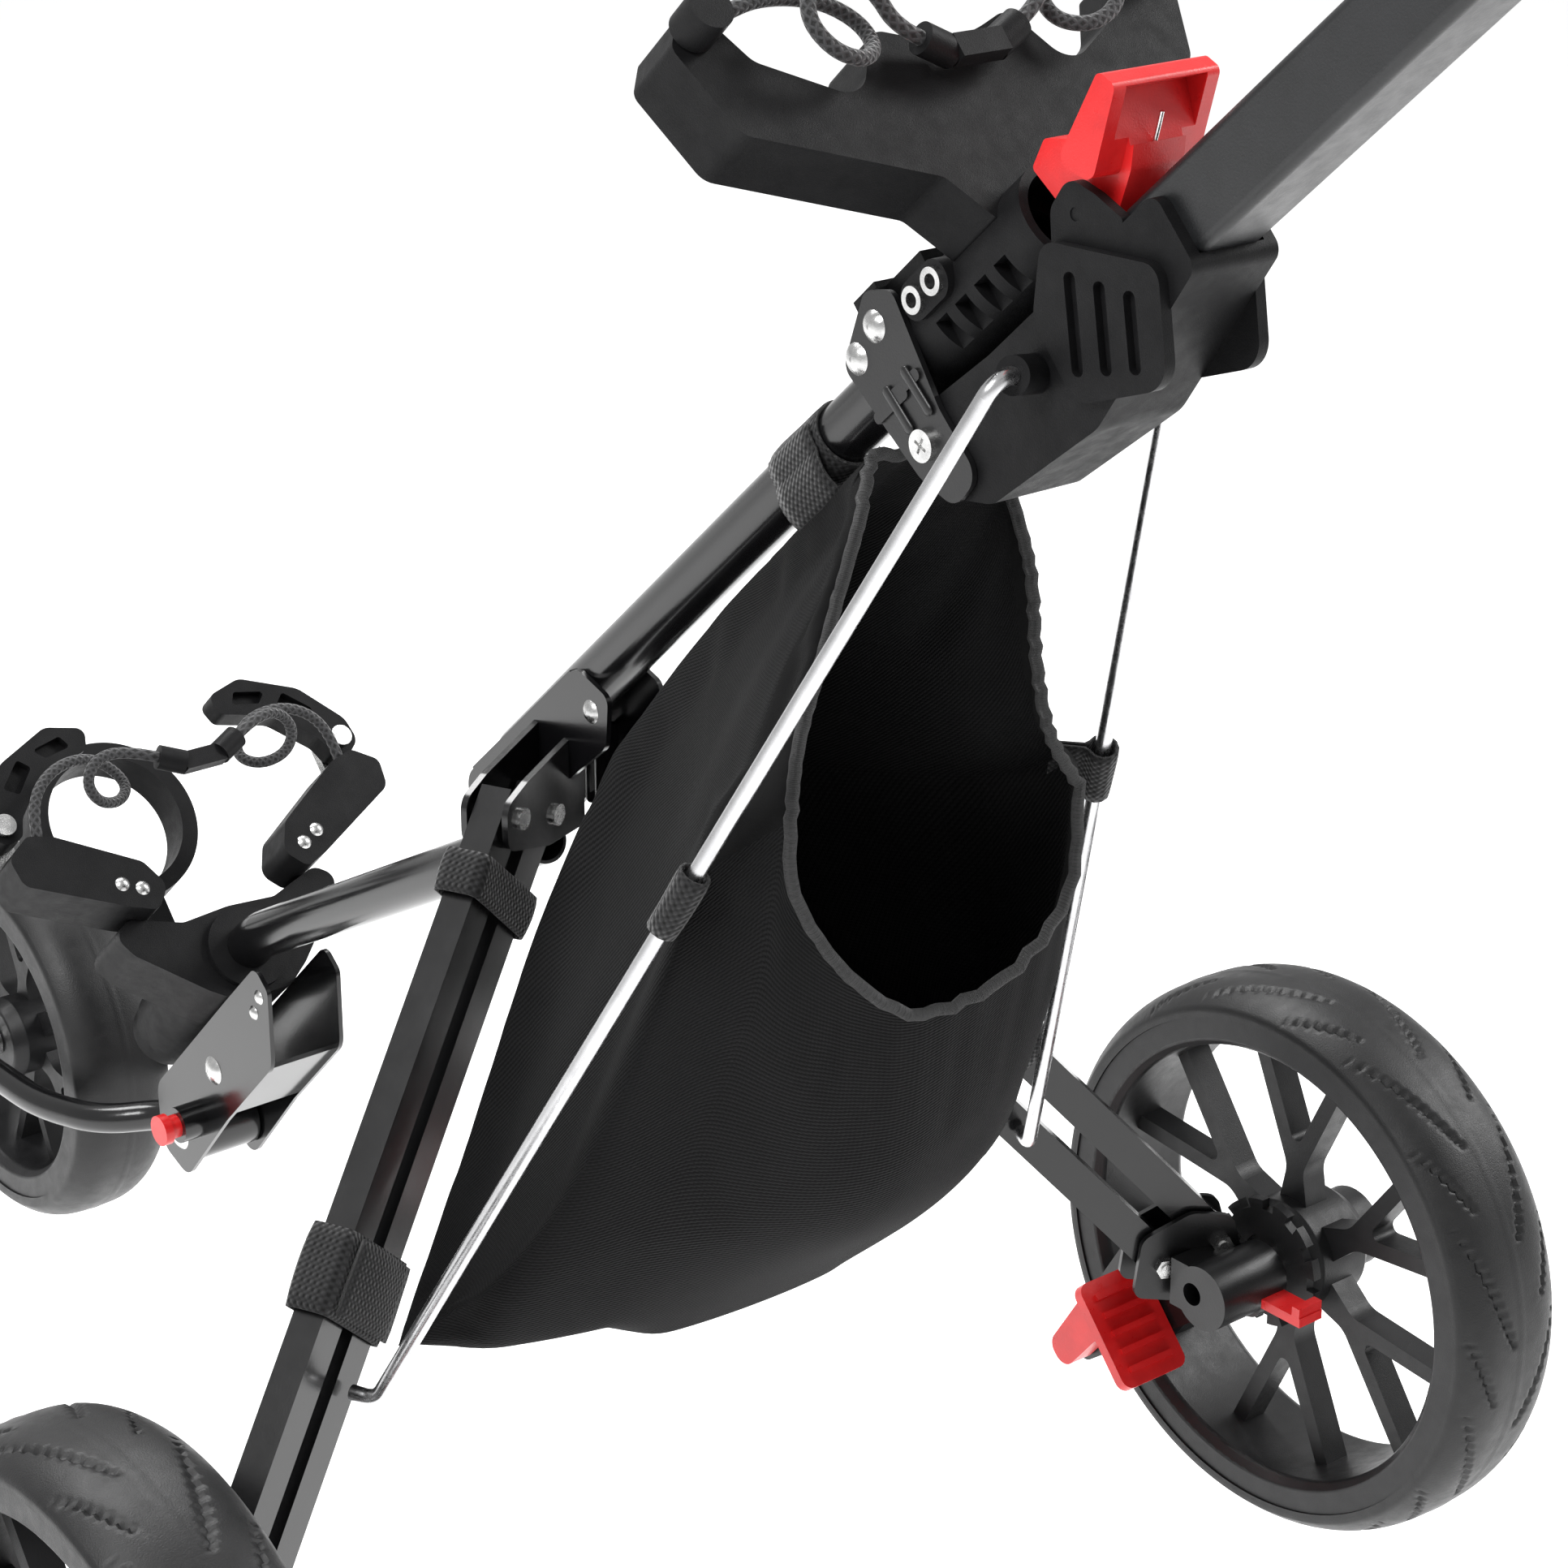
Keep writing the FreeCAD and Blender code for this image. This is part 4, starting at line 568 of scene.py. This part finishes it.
# How many points run down the upper and lower edges, and across each panel.
UPPER, LOWER, WIDE, BACK, FLAP = 40, 44, 22, 49, 8
CLOTH_FRAMES, CLOTH_REACH, CLOTH_THICK, EDGING_RADIUS = 18, 0.011, 0.0016, 0.0027


def back_edge(sign):
    upper = smooth_path([side(sign, *TOP), side(sign, 0.0135, 0.027, 0.5575), side(sign, *KNEE)],
                        UPPER)
    lower = smooth_path([side(sign, *KNEE), side(sign, 0.064, 0.098, 0.400),
                         side(sign, 0.120, 0.075, 0.322), side(sign, *CORNER)], LOWER)
    return upper + lower[1:]


def rod_edge(sign):
    """Where the side panel meets the front one, from the top past the rod's loop to the corner."""
    if sign > 0:
        above = [(0.056, -0.069, 0.634), (0.067, -0.070, 0.590), (0.069, -0.072, 0.548),
                 (0.080, -0.072, 0.516)]
    else:
        above = [TOP, (0.056, -0.070, 0.596), (0.087, -0.071, 0.543)]
    upper = smooth_path([side(sign, *point) for point in above] + [side(sign, *RIM)], UPPER)
    lower = smooth_path([side(sign, *RIM), side(sign, 0.114, -0.056, 0.432),
                         side(sign, 0.129, -0.024, 0.362), side(sign, 0.150, 0.012, 0.302),
                         side(sign, *CORNER)], LOWER)
    return upper, lower


def lip_edge(sign):
    """The mouth's edge from the top down to its widest place. The right one hangs straighter."""
    if sign > 0:
        above = [(0.053, -0.073, 0.634), (0.061, -0.083, 0.592), (0.059, -0.091, 0.552),
                 (0.062, -0.097, 0.522)]
    else:
        above = [TOP, (0.030, -0.083, 0.629), (0.044, -0.087, 0.602), (0.058, -0.092, 0.576),
                 (0.072, -0.097, 0.550)]
    return smooth_path([side(sign, *point) for point in above] + [side(sign, *LIP[sign])], UPPER)


verts, faces, uvs = [], [], []


def patch(rows, crown, bulge, fold=0.0):
    """Adds a grid of rows of points, crowned along the given direction between its sides."""
    start = len(verts)
    height, width = len(rows), len(rows[0])
    for r, row in enumerate(rows):
        for c, point in enumerate(row):
            u, v = c / (width - 1), r / (height - 1)
            lift = math.sin(math.pi * u) * math.sin(math.pi * min(1, v * 0.9 + 0.1)) ** 0.7
            ripple = noise.noise(Vector((u * 3.1 + 4 * bulge.x, v * 2.3, 5 * bulge.y + 0.3)))
            crease = math.sin(u * 7 + v * 5 + 3 * ripple) * math.sin(math.pi * u) \
                * math.sin(math.pi * v)
            verts.append(point + bulge * (crown * lift) + bulge * (fold * crease)
                         + bulge * (0.004 * ripple * math.sin(math.pi * u)))
            uvs.append(((r / (height - 1)) * 0.44, (c / (width - 1)) * 0.26 + start * 0.00013))
    for r in range(height - 1):
        for c in range(width - 1):
            a = start + r * width + c
            faces.append((a, a + 1, a + width + 1, a + width))
    return start


edges = {}
for _, sign in SIDES:
    upper, lower = rod_edge(sign)
    edges[sign] = (back_edge(sign), upper + lower[1:], lower, lip_edge(sign))
for name, sign in SIDES:
    back, front, _, lip = edges[sign]
    rows = [[b.lerp(f, c / (WIDE - 1)) for c in range(WIDE)] for b, f in zip(back, front)]
    patch(rows, 0.008, Vector((sign * 0.8, -0.35, -0.2)).normalized(), 0.0034)
    rows = [[f.lerp(e, c / (FLAP - 1)) for c in range(FLAP)] for f, e in zip(front[:UPPER], lip)]
    patch(rows, 0.002, Vector((sign * 0.3, -0.9, 0)).normalized(), 0.0)
hem = []
for c in range(BACK):
    u = c / (BACK - 1)
    hem.append(edges[-1][0][-1].lerp(edges[1][0][-1], u)
               + Vector((0, -0.034, -0.012)) * math.sin(math.pi * u) ** 0.85)
back_rows = []
for index, (left, right) in enumerate(zip(edges[-1][0], edges[1][0])):
    share = max(0.0, (index - UPPER + 1) / (LOWER - 1))
    row = []
    for c in range(BACK):
        u = c / (BACK - 1)
        row.append(left.lerp(right, u)
                   + (hem[c] - edges[-1][0][-1].lerp(edges[1][0][-1], u)) * share ** 1.4)
    back_rows.append(row)
patch(back_rows, 0.0, Vector((0, 0.6, -0.4)).normalized(), 0.002)
flap_left = [edges[-1][1][UPPER - 1].lerp(edges[-1][3][-1], c / (FLAP - 1)) for c in range(FLAP)]
flap_right = [edges[1][3][-1].lerp(edges[1][1][UPPER - 1], c / (FLAP - 1)) for c in range(FLAP)]
sweep = smooth_path([side(-1, *LIP[-1]), side(-1, 0.078, -0.102, 0.491),
                     side(-1, 0.060, -0.104, 0.458), side(-1, 0.032, -0.105, 0.431),
                     side(-1, 0.008, -0.106, 0.422), side(1, 0.030, -0.105, 0.424),
                     side(1, 0.057, -0.104, 0.437), side(1, 0.073, -0.102, 0.458),
                     side(1, *LIP[1])], BACK - 2 * (FLAP - 1))
crest = flap_left[:-1] + sweep + flap_right[1:]
left_low, right_low = edges[-1][2], edges[1][2]
front_rows = []
for index, (left, right) in enumerate(zip(left_low, right_low)):
    v = index / (LOWER - 1)
    row = []
    for c in range(BACK):
        u = c / (BACK - 1)
        flat = left.lerp(right, u)
        top_gap = crest[c] - left_low[0].lerp(right_low[0], u)
        low_gap = hem[c] - left_low[-1].lerp(right_low[-1], u)
        row.append(flat + top_gap * (1 - v) ** 1.7 + low_gap * v ** 1.5
                   + Vector((0, -0.020, -0.010)) * (math.sin(math.pi * u) * math.sin(math.pi * v)))
    front_rows.append(row)
patch(front_rows, 0.0, Vector((0, -0.85, -0.3)).normalized(), 0.0045)

pouch = mesh_piece("pouch", verts, faces, "pouch_fabric", uvs)
bm = bmesh.new()
bm.from_mesh(pouch.data)
bmesh.ops.remove_doubles(bm, verts=bm.verts, dist=0.0012)
bmesh.ops.recalc_face_normals(bm, faces=bm.faces)
bm.to_mesh(pouch.data)
bm.free()

rest = [v.co.copy() for v in pouch.data.vertices]
pins = pouch.vertex_groups.new(name="pins")
lines = [p for sign in (-1, 1) for p in edges[sign][0] + edges[sign][1][UPPER - 6:UPPER + 6]]
mouth_low = crest + edges[-1][3] + edges[1][3]
for vertex in pouch.data.vertices:
    near = min((vertex.co - p).length for p in lines)
    lip = min((vertex.co - p).length for p in mouth_low)
    weight = 1.0 if near < 0.004 else 0.85 if lip < 0.008 else 0.0
    pins.add([vertex.index], weight, "REPLACE")
cloth = pouch.modifiers.new("cloth", "CLOTH")
cloth.settings.quality = 6
cloth.settings.mass = 0.25
cloth.settings.tension_stiffness = 25
cloth.settings.compression_stiffness = 25
cloth.settings.shear_stiffness = 8
cloth.settings.bending_stiffness = 0.6
cloth.settings.shrink_min = -0.035
cloth.settings.vertex_group_mass = "pins"
cloth.point_cache.frame_start, cloth.point_cache.frame_end = 1, CLOTH_FRAMES
for number in range(1, CLOTH_FRAMES + 1):
    bpy.context.scene.frame_set(number)
settled = pouch.evaluated_get(bpy.context.evaluated_depsgraph_get())
moved = [v.co.copy() for v in settled.data.vertices]
pouch.modifiers.remove(cloth)
for vertex, start, end in zip(pouch.data.vertices, rest, moved):
    shift = end - start
    if shift.length > CLOTH_REACH:
        shift = shift.normalized() * CLOTH_REACH
    vertex.co = start + shift
pouch.vertex_groups.clear()
bpy.context.scene.frame_set(1)
bm = bmesh.new()
bm.from_mesh(pouch.data)
inner = [v for v in bm.verts if not v.is_boundary]
for _ in range(2):
    bmesh.ops.smooth_vert(bm, verts=inner, factor=0.35, use_axis_x=True, use_axis_y=True,
                          use_axis_z=True)
links = {}
for edge in bm.edges:
    if edge.is_boundary:
        for one, two in (edge.verts, tuple(edge.verts)[::-1]):
            links.setdefault(one, []).append(two)
used = set()


def walk(vertex):
    """Follows the open edge from a vertex, straight on where it branches."""
    path = [vertex]
    while True:
        choices = [v for v in links[vertex] if frozenset((v, vertex)) not in used]
        if not choices:
            return [v.co.copy() for v in path]
        if len(path) > 1:
            ahead = vertex.co - path[-2].co
            choices.sort(key=lambda v: ahead.angle(v.co - vertex.co, math.pi))
        used.add(frozenset((choices[0], vertex)))
        vertex = choices[0]
        path.append(vertex)


lowest = min(links, key=lambda v: (v.co - crest[BACK // 2]).length)
one_way = walk(lowest)
mouth = walk(lowest)[:0:-1] + one_way
bm.to_mesh(pouch.data)
bm.free()
thick = pouch.modifiers.new("thick", "SOLIDIFY")
thick.thickness = CLOTH_THICK
thick.offset = 0
fine = pouch.modifiers.new("fine", "SUBSURF")
fine.levels = fine.render_levels = 1
bpy.context.view_layer.objects.active = pouch
done = bpy.data.meshes.new_from_object(pouch.evaluated_get(bpy.context.evaluated_depsgraph_get()))
pouch.modifiers.clear()
pouch.data = done
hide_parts("storage_pouch")
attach(pouch, "frame")
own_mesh(pouch)

joined = (mouth[0] - mouth[-1]).length < 1e-6
edging = curve_piece("pouch_edging", mouth[:-1] if joined else mouth, EDGING_RADIUS,
                     "pouch_fabric", kind="POLY", closed=joined,
                     material="binding")
done = bpy.data.meshes.new_from_object(edging.evaluated_get(bpy.context.evaluated_depsgraph_get()))
bpy.data.objects.remove(edging)
edging = bpy.data.objects.new("pouch_edging", done)
for polygon in done.polygons:
    polygon.use_smooth = True
bpy.context.scene.collection.objects.link(edging)
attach(edging, "frame")
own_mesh(edging)

# The pouch's rim hangs from the two support rods by loops of webbing.
for name, sign in SIDES:
    hook, foot = side(sign, 0.046, -0.178, 0.710), side(sign, 0.1892, 0.0436, 0.2368)
    rod = (foot - hook).normalized()
    spot = hook + (foot - hook) * 0.472
    inward = side(sign, *RIM) - spot
    inward = (inward - rod * inward.dot(rod)).normalized()
    face = rod.cross(inward).normalized()
    loop = [spot + inward * (0.022 - 0.0012 * k) + face * 0.0012 for k in range(13)]
    loop += [spot + inward * (0.0062 * math.cos(a)) + face * (0.0062 * math.sin(a))
             for a in (math.radians(25 + 31 * k) for k in range(11))]
    loop += [spot + inward * (0.0076 + 0.0012 * k) - face * 0.0012 for k in range(13)]
    rod_loop = band("rod_loop_" + name, loop, rod, 0.030, 0.0016, "webbing", closed=False)
    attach(rod_loop, "rod_" + name)


# ---------------------------------------------------------------- small details at the hinge
def solid_curve(name, points, radius, slot, body, kind="NURBS"):
    """A wire as a mesh, so that it exports as one."""
    wire = curve_piece(name + "_line", points, radius, slot, kind)
    depsgraph = bpy.context.evaluated_depsgraph_get()
    data = bpy.data.meshes.new_from_object(wire.evaluated_get(depsgraph))
    bpy.data.objects.remove(wire)
    for polygon in data.polygons:
        polygon.use_smooth = True
    obj = bpy.data.objects.new(name, data)
    bpy.context.scene.collection.objects.link(obj)
    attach(obj, body)
    return obj


spring = [at(x, y, z) for x, y, z in ((-0.0016, -0.2120, 0.8060), (-0.0016, -0.2095, 0.7960),
                                      (-0.0014, -0.2050, 0.7840), (-0.0012, -0.2005, 0.7745))]
COIL_RADIUS = 0.0062
spring += [at(-0.0012 + 0.0007 * k, -0.1900 - COIL_RADIUS * math.cos(k * 0.9),
              0.7680 + COIL_RADIUS * math.sin(k * 0.9)) for k in range(1, 15)]
solid_curve("latch_spring", spring, 0.0009, "zinc_fastener", "latch")

# Pressed ribs on the hinge plates, each a low dome between two points (Y and Z, in metres).
RIBS = (((-0.1034, 0.6922), (-0.1169, 0.6804)), ((-0.0934, 0.6821), (-0.1064, 0.6706)))
RIB_RINGS, RIB_POINTS = 7, 28
for name, sign in SIDES:
    low, high = (Vector(v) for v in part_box("side_plate_" + name))
    face = low.x if sign < 0 else high.x
    for number, (a, b) in enumerate(RIBS):
        start, end = at(face, *a), at(face, *b)
        rib_verts, rib_faces = [], []
        direction = (end - start).normalized()
        cross = direction.cross(Vector((1, 0, 0))).normalized()
        for ring in range(RIB_RINGS):
            tall = math.sin(ring / (RIB_RINGS - 1) * math.pi / 2)
            shrink = math.cos(ring / (RIB_RINGS - 1) * math.pi / 2)
            for k in range(RIB_POINTS):
                angle = TAU * k / RIB_POINTS
                base = start if math.cos(angle) < 0 else end
                spread = 0.0004 + 0.0021 * shrink
                rib_verts.append(base + direction * (spread * math.cos(angle))
                                 + cross * (spread * math.sin(angle))
                                 + Vector((sign * (0.0011 * tall - 0.0002), 0, 0)))
        for ring in range(RIB_RINGS - 1):
            for k in range(RIB_POINTS):
                a0 = ring * RIB_POINTS + k
                b0 = ring * RIB_POINTS + (k + 1) % RIB_POINTS
                rib_faces.append((a0, b0, b0 + RIB_POINTS, a0 + RIB_POINTS))
        rib_faces.append(tuple((RIB_RINGS - 1) * RIB_POINTS + k for k in range(RIB_POINTS)))
        rib = mesh_piece("plate_rib_%s_%d" % (name, number), rib_verts, rib_faces,
                         "satin_black_steel")
        recalc(rib)
        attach(rib, "frame")

# ---------------------------------------------------------------- floor, light and world
# A white sheet well below the wheels, which drop below their rest height as the cart folds.
SHEET, BELOW = 40, -0.35
floor_mesh = bpy.data.meshes.new("floor")
corners = [(x * SHEET, y * SHEET, BELOW) for x, y in ((-1, -1), (1, -1), (1, 1), (-1, 1))]
floor_mesh.from_pydata(corners, [], [(0, 1, 2, 3)])
floor = bpy.data.objects.new("floor", floor_mesh)
bpy.context.scene.collection.objects.link(floor)
pale = Nodes("floor_paint")
pale.set(Base_Color=(0.80, 0.80, 0.80, 1), Roughness=0.9, Emission_Color=(1, 1, 1, 1),
         Emission_Strength=0.5)
floor_mesh.materials.append(pale.material)

world = bpy.data.worlds.new("world")
world.use_nodes = True
world.node_tree.nodes["Background"].inputs[0].default_value = (1, 1, 1, 1)
world.node_tree.nodes["Background"].inputs[1].default_value = 0.55
bpy.context.scene.world = world


def softbox(name, place, target, size, power):
    data = bpy.data.lights.new(name, "AREA")
    data.shape = "RECTANGLE"
    data.size, data.size_y = size
    data.energy = power
    lamp = bpy.data.objects.new(name, data)
    lamp.location = place
    lamp.rotation_euler = (Vector(target) - Vector(place)).to_track_quat("-Z", "Y").to_euler()
    bpy.context.scene.collection.objects.link(lamp)


softbox("key", (-2.4, -0.6, 3.0), (0, 0, 0.3), (1.4, 1.4), 95)
softbox("side", (2.8, -1.0, 2.2), (0, 0, 0.4), (0.9, 2.0), 70)
softbox("top", (0.2, 1.8, 3.2), (0, 0.2, 0.3), (3.0, 1.0), 110)

bpy.context.scene.view_settings.view_transform = "Standard"
